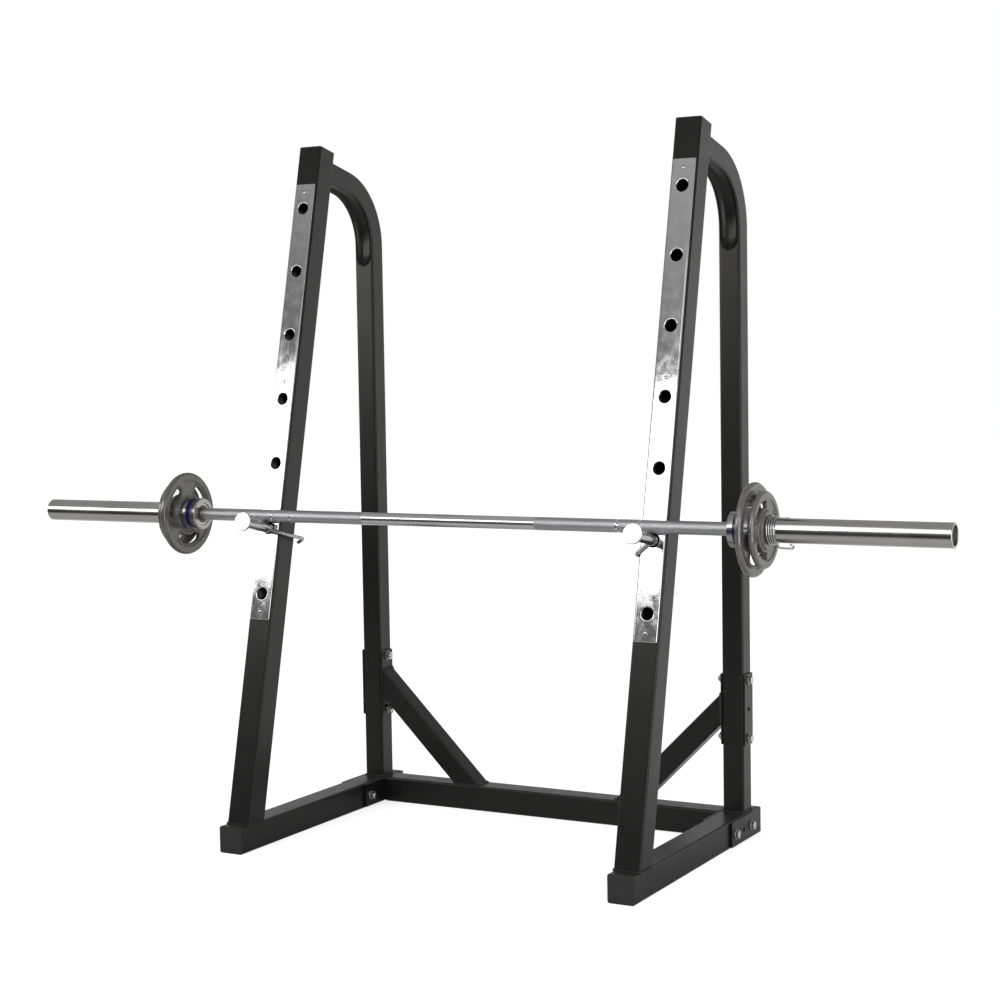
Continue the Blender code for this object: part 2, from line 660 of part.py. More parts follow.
def bolt_mesh(length):
    """Hexagon bolt with its washer, which lies on Z = 0; the shank hangs below it."""
    radius = BOLT_DIAMETER / 2
    into_head = WASHER_THICKNESS + BOLT_HEAD_HEIGHT / 2
    shank = turned_mesh("bolt_shank", [
        (0.0, into_head), (radius, into_head), (radius, WASHER_THICKNESS),
        (WASHER_DIAMETER / 2, WASHER_THICKNESS), (WASHER_DIAMETER / 2, 0.0), (radius, 0.0),
        (radius, -length), (0.0, -length)], SMALL_ROUND_STEPS)
    low = WASHER_THICKNESS / 2
    head = hexagon_mesh("bolt_head", low, WASHER_THICKNESS + BOLT_HEAD_HEIGHT)
    return joined_mesh("bolt", head, shank, "UNION")


def nut_mesh():
    """Hexagon nut with its washer, which lies on Z = 0."""
    top = WASHER_THICKNESS + NUT_HEIGHT
    washer = turned_mesh("nut_washer", ring_profile(
        BOLT_DIAMETER / 2 + TOUCH_GAP, WASHER_DIAMETER / 2, 0.0, WASHER_THICKNESS), SMALL_ROUND_STEPS, True)
    body = joined_mesh("nut_body", hexagon_mesh("nut", WASHER_THICKNESS / 2, top), washer, "UNION")
    bore = turned_mesh("nut_bore", [
        (0.0, 2 * top), (BOLT_DIAMETER / 2 + TOUCH_GAP, 2 * top), (BOLT_DIAMETER / 2 + TOUCH_GAP, -top),
        (0.0, -top)], SMALL_ROUND_STEPS)
    return joined_mesh("nut", body, bore, "DIFFERENCE")


def make_fasteners(half_grip, spots, root):
    """Bolts with their washers outside, and nuts with theirs inside.

    half_grip runs from the middle of the joint to its clamped outer face. Each spot holds a
    bolt's name, its (Y, Z) place, and whether it has a loose nut or goes into a welded one.
    """
    seat = half_grip + TOUCH_GAP
    length = 2 * seat + WASHER_THICKNESS + NUT_HEIGHT + BOLT_TAIL
    bolt = bolt_mesh(length)
    nut = nut_mesh()
    bolt.materials.append(ZINC)
    nut.materials.append(ZINC)
    for side, sign, outward in SIDES:
        inward = tuple(-angle for angle in outward)
        for label, y, z, loose_nut in spots:
            place = (sign * (SIDE_X + seat), y, z)
            add(side + "_" + label + "_bolt", bolt, None, root, place, outward)
            if loose_nut:
                place = (sign * (SIDE_X - seat), y, z)
                add(side + "_" + label + "_nut", nut, None, root, place, inward)


def rod_path():
    """Centre line of a lock rod: out along X, back past the upright, then the hook."""
    bend = ROD_BEND_RADIUS
    front = STRIP_FRONT + TOUCH_GAP + ROD_DIAMETER / 2
    root_x = PIN_DIAMETER / 2 + TOUCH_GAP
    far_x = ROD_RADIUS_FROM_PIN
    points = [Vector((root_x, 0.0, front))]
    centre = Vector((far_x - bend, 0.0, front - bend))
    for step in range(ARC_STEPS + 1):
        angle = math.pi / 2 * (1 - step / ARC_STEPS)
        points.append(centre + bend * Vector((math.cos(angle), 0.0, math.sin(angle))))
    hook = Vector((-math.cos(ROD_HOOK_ANGLE), -math.sin(ROD_HOOK_ANGLE), 0.0))
    corner = Vector((far_x, 0.0, -ROD_REACH_BEHIND))
    centre = corner + Vector((0.0, 0.0, bend)) + hook * bend
    for step in range(ARC_STEPS + 1):
        angle = math.pi / 2 * step / ARC_STEPS
        points.append(centre - hook * bend * math.cos(angle) - Vector((0.0, 0.0, bend)) * math.sin(angle))
    points.append(corner + hook * ROD_HOOK_LENGTH)
    return points


def make_catch(side, sign, tilt, frame):
    """Bar catch in its hole: pin with its end disc, and lock rod, on an empty along the pin."""
    axis = empty(side + "_catch_axis", frame, (0.0, 0.0, CATCH_HEIGHT), FRONT_VIEW)
    pin_radius = PIN_DIAMETER / 2
    disc_radius = DISC_DIAMETER / 2
    disc_top = DISC_REACH + DISC_THICKNESS
    tail = -UPRIGHT_SIZE - PIN_TAIL
    pin = turned_mesh(side + "_catch_pin", [
        (0.0, disc_top),
        (disc_radius - DISC_CHAMFER, disc_top),
        (disc_radius, disc_top - DISC_CHAMFER),
        (disc_radius, DISC_REACH + DISC_CHAMFER),
        (disc_radius - DISC_CHAMFER, DISC_REACH),
        (pin_radius, DISC_REACH),
        (pin_radius, tail + PIN_CHAMFER),
        (pin_radius - PIN_CHAMFER, tail),
        (0.0, tail)], ROUND_STEPS)
    add(side + "_catch_pin", pin, CHROME, axis)
    curve = sketch(side + "_catch_rod", [[(-sign * p.x, p.y, p.z) for p in rod_path()]], False, "3D")
    curve.bevel_depth = ROD_DIAMETER / 2
    curve.bevel_resolution = 2
    curve.use_fill_caps = True
    mesh = read_mesh(add(side + "_rod_curve", curve))
    weld(mesh)
    add(side + "_catch_rod", mesh, CHROME, axis, (0.0, 0.0, 0.0), (0.0, 0.0, sign * tilt))


def make_shaft(bar):
    """Solid shaft of the bar, with a groove for each retaining ring and its ring marks."""
    radius = SHAFT_DIAMETER / 2
    half = [(0.0, SHAFT_END_X), (radius, SHAFT_END_X)]
    groove = radius - RETAINER_GROOVE
    half += [(radius, RETAINER_X + RETAINER_THICKNESS), (groove, RETAINER_X + RETAINER_THICKNESS),
             (groove, RETAINER_X), (radius, RETAINER_X)]
    for place in reversed(RING_MARK_PLACES):
        edge = RING_MARK_WIDTH / 2
        mark = radius - RING_MARK_DEPTH
        half += [(radius, place + edge), (mark, place + edge), (mark, place - edge), (radius, place - edge)]
    profile = half + [(r, -x) for r, x in reversed(half)]
    mesh = turned_mesh("bar_shaft", profile, ROUND_STEPS)
    add("bar_shaft", mesh, SATIN_STEEL, bar, (0.0, 0.0, 0.0), ALONG_RIGHT)


def make_sleeve(side, axis, bar, outward):
    """Turning sleeve of the bar with its collar, blue ring, bushings, retainer and end plug."""
    shaft_radius = SHAFT_DIAMETER / 2
    sleeve_radius = SLEEVE_DIAMETER / 2
    inner_end = COLLAR_INNER_X + COLLAR_RECESS
    outer_end = BAR_LENGTH / 2
    add(side + "_sleeve", turned_mesh(side + "_sleeve", [
        (SLEEVE_BORE, outer_end), (sleeve_radius - END_PLUG_CHAMFER, outer_end),
        (sleeve_radius, outer_end - END_PLUG_CHAMFER), (sleeve_radius, inner_end),
        (SLEEVE_BORE, inner_end)], ROUND_STEPS, True), CHROME, axis)

    collar_radius = COLLAR_DIAMETER / 2
    collar_bore = sleeve_radius + TOUCH_GAP
    band_low = COLLAR_INNER_X + BAND_START
    band_high = band_low + BAND_WIDTH
    groove = collar_radius - BAND_DEPTH
    add(side + "_sleeve_collar", turned_mesh(side + "_sleeve_collar", [
        (collar_bore, COLLAR_OUTER_X), (collar_radius - COLLAR_CHAMFER, COLLAR_OUTER_X),
        (collar_radius, COLLAR_OUTER_X - COLLAR_CHAMFER), (collar_radius, band_high + TOUCH_GAP),
        (groove, band_high + TOUCH_GAP), (groove, band_low - TOUCH_GAP),
        (collar_radius, band_low - TOUCH_GAP), (collar_radius, COLLAR_INNER_X + COLLAR_CHAMFER),
        (collar_radius - COLLAR_CHAMFER, COLLAR_INNER_X), (collar_bore, COLLAR_INNER_X)],
        ROUND_STEPS, True), CHROME, axis)
    add(side + "_collar_band", turned_mesh(side + "_collar_band", ring_profile(
        groove + TOUCH_GAP, collar_radius, band_low, band_high), ROUND_STEPS, True), BLUE_BAND, axis)

    bushing = (shaft_radius + TOUCH_GAP, SLEEVE_BORE - TOUCH_GAP)
    inner_low = inner_end + TOUCH_GAP
    add(side + "_inner_bushing", turned_mesh(side + "_inner_bushing", ring_profile(
        *bushing, inner_low, inner_low + BUSHING_LENGTH), BUSHING_STEPS, True), BRONZE, axis)
    outer_high = RETAINER_X - TOUCH_GAP
    add(side + "_outer_bushing", turned_mesh(side + "_outer_bushing", ring_profile(
        *bushing, outer_high - BUSHING_LENGTH, outer_high), BUSHING_STEPS, True), BRONZE, axis)
    add(side + "_retaining_ring", turned_mesh(side + "_retaining_ring", ring_profile(
        shaft_radius - RETAINER_GROOVE + TOUCH_GAP, shaft_radius + RETAINER_RIM, RETAINER_X + TOUCH_GAP,
        RETAINER_X + RETAINER_THICKNESS - TOUCH_GAP), BUSHING_STEPS, True), ZINC, bar,
        (0.0, 0.0, 0.0), outward)
    plug_radius = SLEEVE_BORE - TOUCH_GAP
    plug_top = END_PLUG_X + END_PLUG_THICKNESS
    add(side + "_end_plug", turned_mesh(side + "_end_plug", [
        (0.0, plug_top), (plug_radius - END_PLUG_CHAMFER, plug_top),
        (plug_radius, plug_top - END_PLUG_CHAMFER), (plug_radius, END_PLUG_X), (0.0, END_PLUG_X)],
        ROUND_STEPS), CHROME, axis)


def grip_outline(middle_radius, width, span):
    """Outline of one grip opening: a slot that follows the plate's round, centred on +X."""
    half = width / 2
    angles = [span * (step / GRIP_SWEEP_STEPS - 0.5) for step in range(GRIP_SWEEP_STEPS + 1)]
    outline = [((middle_radius + half) * Vector((math.cos(a), math.sin(a)))) for a in angles]
    for end, first in ((span / 2, 0.0), (-span / 2, math.pi)):
        centre = middle_radius * Vector((math.cos(end), math.sin(end)))
        for step in range(1, ARC_STEPS):
            angle = end + first + math.pi * step / ARC_STEPS
            outline.append(centre + half * Vector((math.cos(angle), math.sin(angle))))
        if first == 0.0:
            outline += [(middle_radius - half) * Vector((math.cos(a), math.sin(a))) for a in reversed(angles)]
    return [tuple(point) for point in outline]


def make_plate(name, size, thickness, hub, rim, low, grip, axis, sign):
    """Cast weight plate with a raised hub and rim and three grip openings.

    rim holds the rim's width, its thickness and how far it starts from the plate's inner face.
    grip holds the openings' middle radius, width and span, and the place of the first one,
    an angle from the back towards the top of the rack.
    """
    bore = SLEEVE_DIAMETER / 2 + PLATE_PLAY
    outer = size / 2
    high = low + thickness
    middle = (low + high) / 2
    rim_width, rim_thickness, rim_start = rim
    rim_inner = outer - rim_width
    rim_low = low + rim_start
    rim_high = rim_low + rim_thickness
    rim_middle = (rim_low + rim_high) / 2
    slope = PLATE_RECESS_SLOPE
    hub_foot = hub / 2 + slope
    front = [(bore, high), (hub / 2, high), (hub_foot, rim_high - PLATE_RECESS),
             (rim_inner - slope, rim_high - PLATE_RECESS), (rim_inner, rim_high)]
    nose = [(outer - RIM_NOSE + RIM_NOSE * math.cos(angle), rim_middle + rim_thickness / 2 * math.sin(angle))
            for angle in (math.pi * (0.5 - step / NOSE_STEPS) for step in range(NOSE_STEPS + 1))]
    back = [(rim_inner, rim_low), (rim_inner - slope, rim_low + PLATE_RECESS),
            (hub_foot, rim_low + PLATE_RECESS), (hub / 2, low), (bore, low)]
    profile = front + nose + back
    plate = add(name, turned_mesh(name, profile, PLATE_STEPS, True), CAST_IRON, axis)
    middle_radius, width, span, first = grip
    slot = plate_mesh(name + "_grip", [grip_outline(middle_radius, width, span)], 2 * thickness)
    turns = []
    for index in range(GRIP_COUNT):
        place = first + index * 2 * math.pi / GRIP_COUNT
        turns.append(math.atan2(math.cos(place), -sign * math.sin(place)))
    grips = copies_mesh(name + "_grips", slot, [
        Matrix.Translation((0.0, 0.0, middle)) @ Matrix.Rotation(turn, 4, "Z") for turn in turns])
    boolean(plate, add_cutter(name + "_grips", grips, axis))


def spring_points():
    """Centre line of a spring collar in the sleeve's frame: handle, coil and handle."""
    steps = SPRING_POINTS_PER_TURN
    radius = (SLEEVE_DIAMETER / 2 + SPRING_PLAY + SPRING_WIRE / 2) / math.cos(math.pi / steps)
    pitch = SPRING_WIRE + SPRING_TURN_GAP
    low = SPRING_X + SPRING_WIRE / 2
    high = low + SPRING_TURNS * pitch
    lifted = radius + SPRING_HANDLE_LIFT
    head_tip = high + SPRING_HEAD_HANDLE
    tail_tip = high + SPRING_TAIL_HANDLE
    start = SPRING_START_ANGLE
    end = start + SPRING_TURNS * 2 * math.pi

    def at(distance, degrees, height):
        angle = start + math.radians(degrees)
        return Vector((distance * math.cos(angle), distance * math.sin(angle), height))

    wire = SPRING_WIRE
    last = math.degrees(end - start)
    points = [at(lifted + wire, -54, head_tip), at(lifted + 0.6 * wire, -53, head_tip - 1.2 * wire),
              at(lifted, -50, head_tip - 2.6 * wire), at(lifted, -50, low + 2.0 * wire),
              at(lifted, -49, low + 1.1 * wire), at(lifted, -43, low + 0.3 * wire),
              at(lifted - 0.3 * wire, -33, low), at(lifted - 0.9 * wire, -17, low)]
    turn_steps = round(SPRING_TURNS * steps)
    for step in range(turn_steps + 1):
        share = step / turn_steps
        points.append(at(radius, last * share, low + (high - low) * share))
    points += [at(radius + 0.3 * wire, last + 12, high + 0.2 * wire),
               at(lifted - 0.2 * wire, last + 22, high + 0.8 * wire),
               at(lifted + 0.2 * wire, last + 28, high + 1.8 * wire),
               at(lifted + 0.3 * wire, last + 30, tail_tip - 1.1 * wire),
               at(lifted, last + 30, tail_tip - 0.3 * wire),
               at(lifted - 0.7 * wire, last + 29, tail_tip),
               at(lifted - 1.3 * wire, last + 24, tail_tip - 0.5 * wire),
               at(lifted - 1.5 * wire, last + 20, tail_tip - 1.4 * wire)]
    return points


def least_self_gap(points, wire):
    """Least gap between the wire and itself, measured on points a quarter wire apart."""
    samples = []
    travelled = 0.0
    for first, second in zip(points, points[1:]):
        length = (second - first).length
        count = max(1, math.ceil(length / (wire / 4)))
        for step in range(count):
            samples.append((first.lerp(second, step / count), travelled + length * step / count))
        travelled += length
    least = math.inf
    for index, (here, place) in enumerate(samples):
        for there, other in samples[index + 1:]:
            if other - place > 4 * wire:
                least = min(least, (here - there).length)
    return least - wire


def make_spring(side, axis, turn):
    """Spring collar: one unbroken wire wound round the sleeve, ending in two handles."""
    points = spring_points()
    print(side, "spring collar: least gap to itself", round(least_self_gap(points, SPRING_WIRE) * 1000, 2), "mm")
    curve = sketch(side + "_spring_collar", [points], False, "3D")
    curve.bevel_depth = SPRING_WIRE / 2
    curve.bevel_resolution = 1
    curve.use_fill_caps = True
    mesh = read_mesh(add(side + "_spring_curve", curve))
    weld(mesh)
    add(side + "_spring_collar", mesh, CHROME, axis, (0.0, 0.0, 0.0), (0.0, 0.0, turn))


def make_barbell(root):
    """Barbell resting on the two catches and against the two wear strips."""
    lean = UPRIGHT_LEAN
    y = UPRIGHT_SETBACK + BAR_UP * math.sin(lean) - BAR_OUT * math.cos(lean)
    z = LEG_SIZE + BAR_UP * math.cos(lean) + BAR_OUT * math.sin(lean)
    bar = empty("bar_axis", root, (0.0, y, z))
    make_shaft(bar)
    for side, sign, outward in SIDES:
        axis = empty(side + "_sleeve_axis", bar, (0.0, 0.0, 0.0), outward)
        make_sleeve(side, axis, bar, outward)
        make_plate(side + "_large_plate", LARGE_PLATE_DIAMETER, LARGE_PLATE_THICKNESS, LARGE_HUB_DIAMETER,
                   (LARGE_RIM_WIDTH, LARGE_RIM_THICKNESS, LARGE_RIM_START), LARGE_PLATE_X,
                   (LARGE_GRIP_RADIUS, LARGE_GRIP_WIDTH, LARGE_GRIP_SPAN, LARGE_GRIP_START), axis, sign)
        make_plate(side + "_small_plate", SMALL_PLATE_DIAMETER, SMALL_PLATE_THICKNESS, SMALL_HUB_DIAMETER,
                   (SMALL_RIM_WIDTH, SMALL_RIM_THICKNESS, SMALL_RIM_START), SMALL_PLATE_X,
                   (SMALL_GRIP_RADIUS, SMALL_GRIP_WIDTH, SMALL_GRIP_SPAN, SMALL_GRIP_START), axis, sign)
        make_spring(side, axis, 0.0 if sign > 0 else math.pi)
    return bar


def make_rack():
    """The whole rack, centred on the origin."""
    root = empty("rack_origin", None, (0.0, -BRACKET_REAR_Y / 2, 0.0))
    tilts = {"left": LEFT_ROD_TILT, "right": RIGHT_ROD_TILT}
    for side, sign, _ in SIDES:
        make_leg(side, sign, root)
        frame = make_front_upright(side, sign, root)
        make_catch(side, sign, tilts[side], frame)
        make_rear_upright(side, sign, root)
        make_end_bracket(side, sign, root)
        make_brace(side, sign, root)
        make_brace_plates(side, sign, root)
    make_crossbeam(root)
    front_y, rear_y = leg_bolt_places()
    make_fasteners(BRACKET_HALF_WIDTH, [
        ("leg_front", front_y, BRACKET_MIDDLE_Z, True),
        ("leg_rear", rear_y, BRACKET_MIDDLE_Z, False)], root)
    low_z, high_z = brace_bolt_places()
    make_fasteners(BRACE_PLATE_REACH, [
        ("brace_lower", REAR_LINE_Y, low_z, True),
        ("brace_upper", REAR_LINE_Y, high_z, True)], root)
    make_barbell(root)


make_rack()
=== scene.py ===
# %% [markdown]
# # A squat rack with a loaded barbell
#
# The rack is a frame of square steel tube: two legs on the floor, two uprights that lean back,
# two posts bent over at the top to meet them, and a crossbeam with two braces behind. A chrome
# strip on each upright is drilled for a bar catch, and a loaded barbell lies on the catches.
#
# The solids that carry, fasten and move were made first, in another script. They are loaded here
# as a fixed frame. This file gives every piece its fine shape and its finish. Each new piece
# rides on a body of that frame and stands for the plain solid that it replaces.

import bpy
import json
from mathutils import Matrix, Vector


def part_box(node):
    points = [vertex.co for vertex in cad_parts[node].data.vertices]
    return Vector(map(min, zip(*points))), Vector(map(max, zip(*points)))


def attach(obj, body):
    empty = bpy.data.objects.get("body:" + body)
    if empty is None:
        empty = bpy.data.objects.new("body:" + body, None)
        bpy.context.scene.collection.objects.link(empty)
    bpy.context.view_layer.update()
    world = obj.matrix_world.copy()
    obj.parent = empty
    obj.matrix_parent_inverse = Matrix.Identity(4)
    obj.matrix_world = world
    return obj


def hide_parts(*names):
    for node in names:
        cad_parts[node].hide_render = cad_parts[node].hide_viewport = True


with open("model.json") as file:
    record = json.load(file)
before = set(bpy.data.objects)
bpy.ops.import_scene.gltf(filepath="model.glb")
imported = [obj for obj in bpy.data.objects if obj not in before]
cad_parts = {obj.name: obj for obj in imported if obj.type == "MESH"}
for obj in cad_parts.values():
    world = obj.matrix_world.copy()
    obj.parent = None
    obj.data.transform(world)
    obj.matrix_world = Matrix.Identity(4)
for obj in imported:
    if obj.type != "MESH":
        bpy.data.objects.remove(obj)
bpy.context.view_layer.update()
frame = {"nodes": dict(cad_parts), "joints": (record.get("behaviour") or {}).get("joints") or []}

# %% Modules
import json
import math

import bmesh
import bpy
from mathutils import Euler, Matrix, Vector

scene = bpy.context.scene

# %% [markdown]
# ## Measures
#
# Every size is either read from the frame, so that a piece fits the solid that it stands for,
# or it is written once, here or beside the piece that needs it. X runs across the rack, Y to its
# back and Z up, in metres. The lean of the uprights is read from the direction in which a catch
# is pulled out of its hole, since the holes are drilled square to the upright.

# %% Measures of the frame
SIDES = (("left", -1), ("right", 1))
GAP = 0.0003
WALL = 0.0025
TUBE_CORNER = 0.005

leg_low, leg_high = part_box("right_base_leg")
LEG_SIZE = leg_high.z - leg_low.z
LEG_MIDDLE = (leg_low.z + leg_high.z) / 2
SIDE_X = (leg_low.x + leg_high.x) / 2
CAP_FLANGE = 0.003
FRONT_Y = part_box("right_leg_cap")[0].y

post_low, post_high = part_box("right_rear_upright")
POST_SIZE = post_high.x - post_low.x
REAR_Y = post_high.y - POST_SIZE / 2

pull = next(joint for joint in frame["joints"] if joint["name"] == "right_catch_pull")
PULL_AXIS = Vector(pull["axis"])
LEAN = math.atan2(PULL_AXIS.z, -PULL_AXIS.y)
UPRIGHT_SIZE = 0.060
UPRIGHT_LENGTH = 1.570
UPRIGHT_SETBACK = 0.029
print("lean", round(math.degrees(LEAN), 2), "degrees, sides at x", round(SIDE_X, 4),
      "back at y", round(REAR_Y, 4))

# %% [markdown]
# ## Camera, lamps and floor
#
# The camera stands to the right of the rack at chest height and looks slightly down, as in the
# picture. A long lens keeps the far side nearly as tall as the near one.
#
# Black paint and chrome show mostly what they reflect, so the studio is planned by what each
# face looks at. The strips and the sleeves look at soft panels at the front, and the plates at
# one at their right. The side faces look at the white back of the studio. What lies behind the
# camera is dim, and the back wall turns grey above eye height, as the ceiling is. The floor is
# white paper to the camera. Mirrored in the rack it is dark in front and glows behind.


# %% Put an object in the scene
def link(name, data):
    """An object at the origin that shows the data."""
    item = bpy.data.objects.new(name, data)
    scene.collection.objects.link(item)
    return item


def built(name, work):
    """The mesh that an edit mesh holds; the edit mesh is freed."""
    mesh = bpy.data.meshes.new(name)
    work.to_mesh(mesh)
    work.free()
    return mesh


# %% Camera
CAMERA_PLACE = (2.1207, -3.8145, 1.0855)
CAMERA_TURN = 0.5010
CAMERA_DIP = 0.0712
CAMERA_ROLL = 0.0162
CAMERA_LENS = 70.58
CAMERA_SENSOR = 36.0
RACK_MIDDLE = Vector((0.0, 0.0, 0.8))

camera_data = bpy.data.cameras.new("camera")
camera_data.lens = CAMERA_LENS
camera_data.sensor_width = CAMERA_SENSOR
camera = link("camera", camera_data)
camera.matrix_world = (Matrix.Translation(CAMERA_PLACE)
                       @ Matrix.Rotation(CAMERA_TURN, 4, "Z")
                       @ Matrix.Rotation(math.pi / 2 - CAMERA_DIP, 4, "X")
                       @ Matrix.Rotation(-CAMERA_ROLL, 4, "Z"))
scene.camera = camera
scene.view_settings.view_transform = "Standard"
print("camera", round((Vector(CAMERA_PLACE) - RACK_MIDDLE).length, 2), "m from the rack")


# %% Helpers for node trees
def node(tree, kind, inputs=None, **settings):
    """Add a node. Settings are its own choices; an input is a value, or a socket to link."""
    made = tree.nodes.new(kind)
    for name, value in settings.items():
        setattr(made, name, value)
    for name, value in (inputs or {}).items():
        if isinstance(value, bpy.types.NodeSocket):
            tree.links.new(value, made.inputs[name])
        else:
            made.inputs[name].default_value = value
    return made


def sums(tree, operation, *values):
    """A Math node on values or sockets, and its result."""
    return node(tree, "ShaderNodeMath", dict(enumerate(values)), operation=operation).outputs[0]


def ranged(tree, value, low, high, new_low, new_high):
    """Carry a socket's value from one range to another, smoothly at both ends."""
    return node(tree, "ShaderNodeMapRange", {
        "Value": value, "From Min": low, "From Max": high, "To Min": new_low, "To Max": new_high},
        interpolation_type="SMOOTHSTEP").outputs["Result"]


def mixed(tree, factor, first, second, kind="FLOAT"):
    """Go from one value to another with a factor; kind RGBA does it for colours."""
    return node(tree, "ShaderNodeMix", {"Factor": factor, "A": first, "B": second},
                data_type=kind).outputs["Result"]


# %% Light of the studio
WHITE = (1.0, 1.0, 1.0, 1.0)
ROOM_DIFFUSE = 0.80
ROOM_FRONT = 0.13
ROOM_BACK = 1.0
ROOM_BACK_HIGH = 0.36
ROOM_CEILING = 0.38
FRONT_TO_BACK = (-0.30, 0.30)
BACK_WALL_FADE = (0.09, 0.26)
CEILING_FADE = (0.32, 0.50)

world = bpy.data.worlds.new("studio")
scene.world = world
world.use_nodes = True
air = world.node_tree
air.nodes.clear()
looking = node(air, "ShaderNodeTexCoord").outputs["Generated"]
direction = node(air, "ShaderNodeSeparateXYZ", {0: looking})
depth, height = direction.outputs["Y"], direction.outputs["Z"]
back_wall = ranged(air, height, *BACK_WALL_FADE, ROOM_BACK, ROOM_BACK_HIGH)
walls = ranged(air, depth, *FRONT_TO_BACK, ROOM_FRONT, back_wall)
mirrored = mixed(air, ranged(air, height, *CEILING_FADE, 0.0, 1.0), walls, ROOM_CEILING)
rays = node(air, "ShaderNodeLightPath").outputs
mirror_ray = sums(air, "MAXIMUM", rays["Is Glossy Ray"], rays["Is Transmission Ray"])
soft = mixed(air, mirror_ray, ROOM_DIFFUSE, mirrored)
level = mixed(air, rays["Is Camera Ray"], soft, 1.0)
sky = node(air, "ShaderNodeBackground", {"Color": WHITE, "Strength": level})
node(air, "ShaderNodeOutputWorld", {"Surface": sky.outputs["Background"]})
print("studio light", ROOM_DIFFUSE, "from all around")

# %% Lamps
PANELS = (
    # name, middle, point that it faces, width, height, radiance, roll in degrees
    ("strip_panel", (-1.76, -1.88, 1.525), (-0.51, 0.12, 0.89), 3.8, 0.70, 3.4, 10.5),
    ("plate_panel", (1.75, -0.95, 0.80), (0.72, -0.17, 0.74), 0.9, 1.3, 3.0, 0.0),
    ("sleeve_panel", (0.60, -1.15, 1.42), (0.9, -0.18, 0.74), 0.70, 0.80, 1.7, 0.0))

for name, middle, aim, width, height, radiance, roll in PANELS:
    lamp = bpy.data.lights.new(name, "AREA")
    lamp.shape = "RECTANGLE"
    lamp.size = width
    lamp.size_y = height
    lamp.energy = radiance * math.pi * width * height
    panel = link(name, lamp)
    facing = (Vector(aim) - Vector(middle)).to_track_quat("-Z", "Y").to_matrix().to_4x4()
    turn = Matrix.Rotation(math.radians(roll), 4, "Z")
    panel.matrix_world = Matrix.Translation(middle) @ facing @ turn
    panel.visible_camera = False

# %% Floor
FLOOR_REACH = 40.0
FLOOR_ALBEDO = 0.45
FLOOR_BEYOND = 0.05
BEYOND_TO_NEAR = (-2.2, -0.9)
SEEN_GLOW = 0.72
MIRRORED_GLOW_BACK = 0.48
GLOW_FADE = (-0.2, 1.2)

work = bmesh.new()
bmesh.ops.create_grid(work, x_segments=1, y_segments=1, size=FLOOR_REACH / 2,
                      matrix=Matrix.Translation((0.0, 0.0, -GAP)))
floor = link("floor", built("floor", work))
paper = bpy.data.materials.new("studio_paper")
paper.use_nodes = True
sheet = paper.node_tree
paper_inputs = sheet.nodes["Principled BSDF"].inputs
paper_inputs["Roughness"].default_value = 1.0
paper_inputs["Specular IOR Level"].default_value = 0.0
paper_inputs["Emission Color"].default_value = WHITE
rays = node(sheet, "ShaderNodeLightPath").outputs
on_floor = node(sheet, "ShaderNodeTexCoord").outputs["Object"]
spot = node(sheet, "ShaderNodeSeparateXYZ", {0: on_floor})
near = ranged(sheet, spot.outputs["Y"], *BEYOND_TO_NEAR, FLOOR_BEYOND, FLOOR_ALBEDO)
sheet.links.new(mixed(sheet, rays["Is Glossy Ray"], FLOOR_ALBEDO, near), paper_inputs["Base Color"])
glow_back = ranged(sheet, spot.outputs["Y"], *GLOW_FADE, 0.0, MIRRORED_GLOW_BACK)
mirrored_glow = sums(sheet, "MULTIPLY", rays["Is Glossy Ray"], glow_back)
glow = sums(sheet, "MULTIPLY_ADD", rays["Is Camera Ray"], SEEN_GLOW, mirrored_glow)
sheet.links.new(glow, paper_inputs["Emission Strength"])
floor.data.materials.append(paper)
print("floor", FLOOR_REACH, "m across")

# %% [markdown]
# ## Finishes
#
# Each finish is one material. All of them read Object coordinates: every mesh keeps its place in
# its own vertices, so the pattern is in metres and stays on the piece when the piece moves. Noise
# gives the slow changes, and a bump gives the fine grain. The simpler finishes differ only in
# numbers, so one function makes them all.


# %% Start a finish
def finish(name, colour, roughness, metallic=0.0, specular=0.5):
    """A material with plain values, its node tree and its object coordinates."""
    material = bpy.data.materials.new(name)
    material.use_nodes = True
    shader = material.node_tree.nodes["Principled BSDF"]
    shader.inputs["Base Color"].default_value = (*colour, 1.0)
    shader.inputs["Roughness"].default_value = roughness
    shader.inputs["Metallic"].default_value = metallic
    shader.inputs["Specular IOR Level"].default_value = specular
    place = node(material.node_tree, "ShaderNodeTexCoord").outputs["Object"]
    return material, material.node_tree, shader, place


def noise(tree, place, scale, detail=2.0, stretch=(1.0, 1.0, 1.0)):
    """Cloudy noise of about a given number of spots to the metre."""
    stretched = node(tree, "ShaderNodeMapping", {
        "Vector": place, "Scale": stretch}).outputs["Vector"]
    return node(tree, "ShaderNodeTexNoise", {
        "Vector": stretched, "Scale": scale, "Detail": detail}).outputs["Fac"]


def between(tree, factor, first, second):
    """A colour that goes from one to another with a factor."""
    return mixed(tree, factor, (*first, 1.0), (*second, 1.0), "RGBA")


def coloured(tree, shader, factor, first, second):
    """Let the finish go from one colour to another with a factor."""
    tree.links.new(between(tree, factor, first, second), shader.inputs["Base Color"])


def roughened(tree, shader, clouds, smooth, rough):
    """Let the roughness follow clouds, whose noise lies mostly between 0.3 and 0.7."""
    tree.links.new(ranged(tree, clouds, 0.3, 0.7, smooth, rough), shader.inputs["Roughness"])


def bumped(tree, shader, height, distance, strength, under=None):
    """Raise the surface by a height; a coarser bump can lie under a finer one."""
    inputs = {"Height": height, "Distance": distance, "Strength": strength}
    if under is not None:
        inputs["Normal"] = under
    bump = node(tree, "ShaderNodeBump", inputs).outputs["Normal"]
    tree.links.new(bump, shader.inputs["Normal"])
    return bump


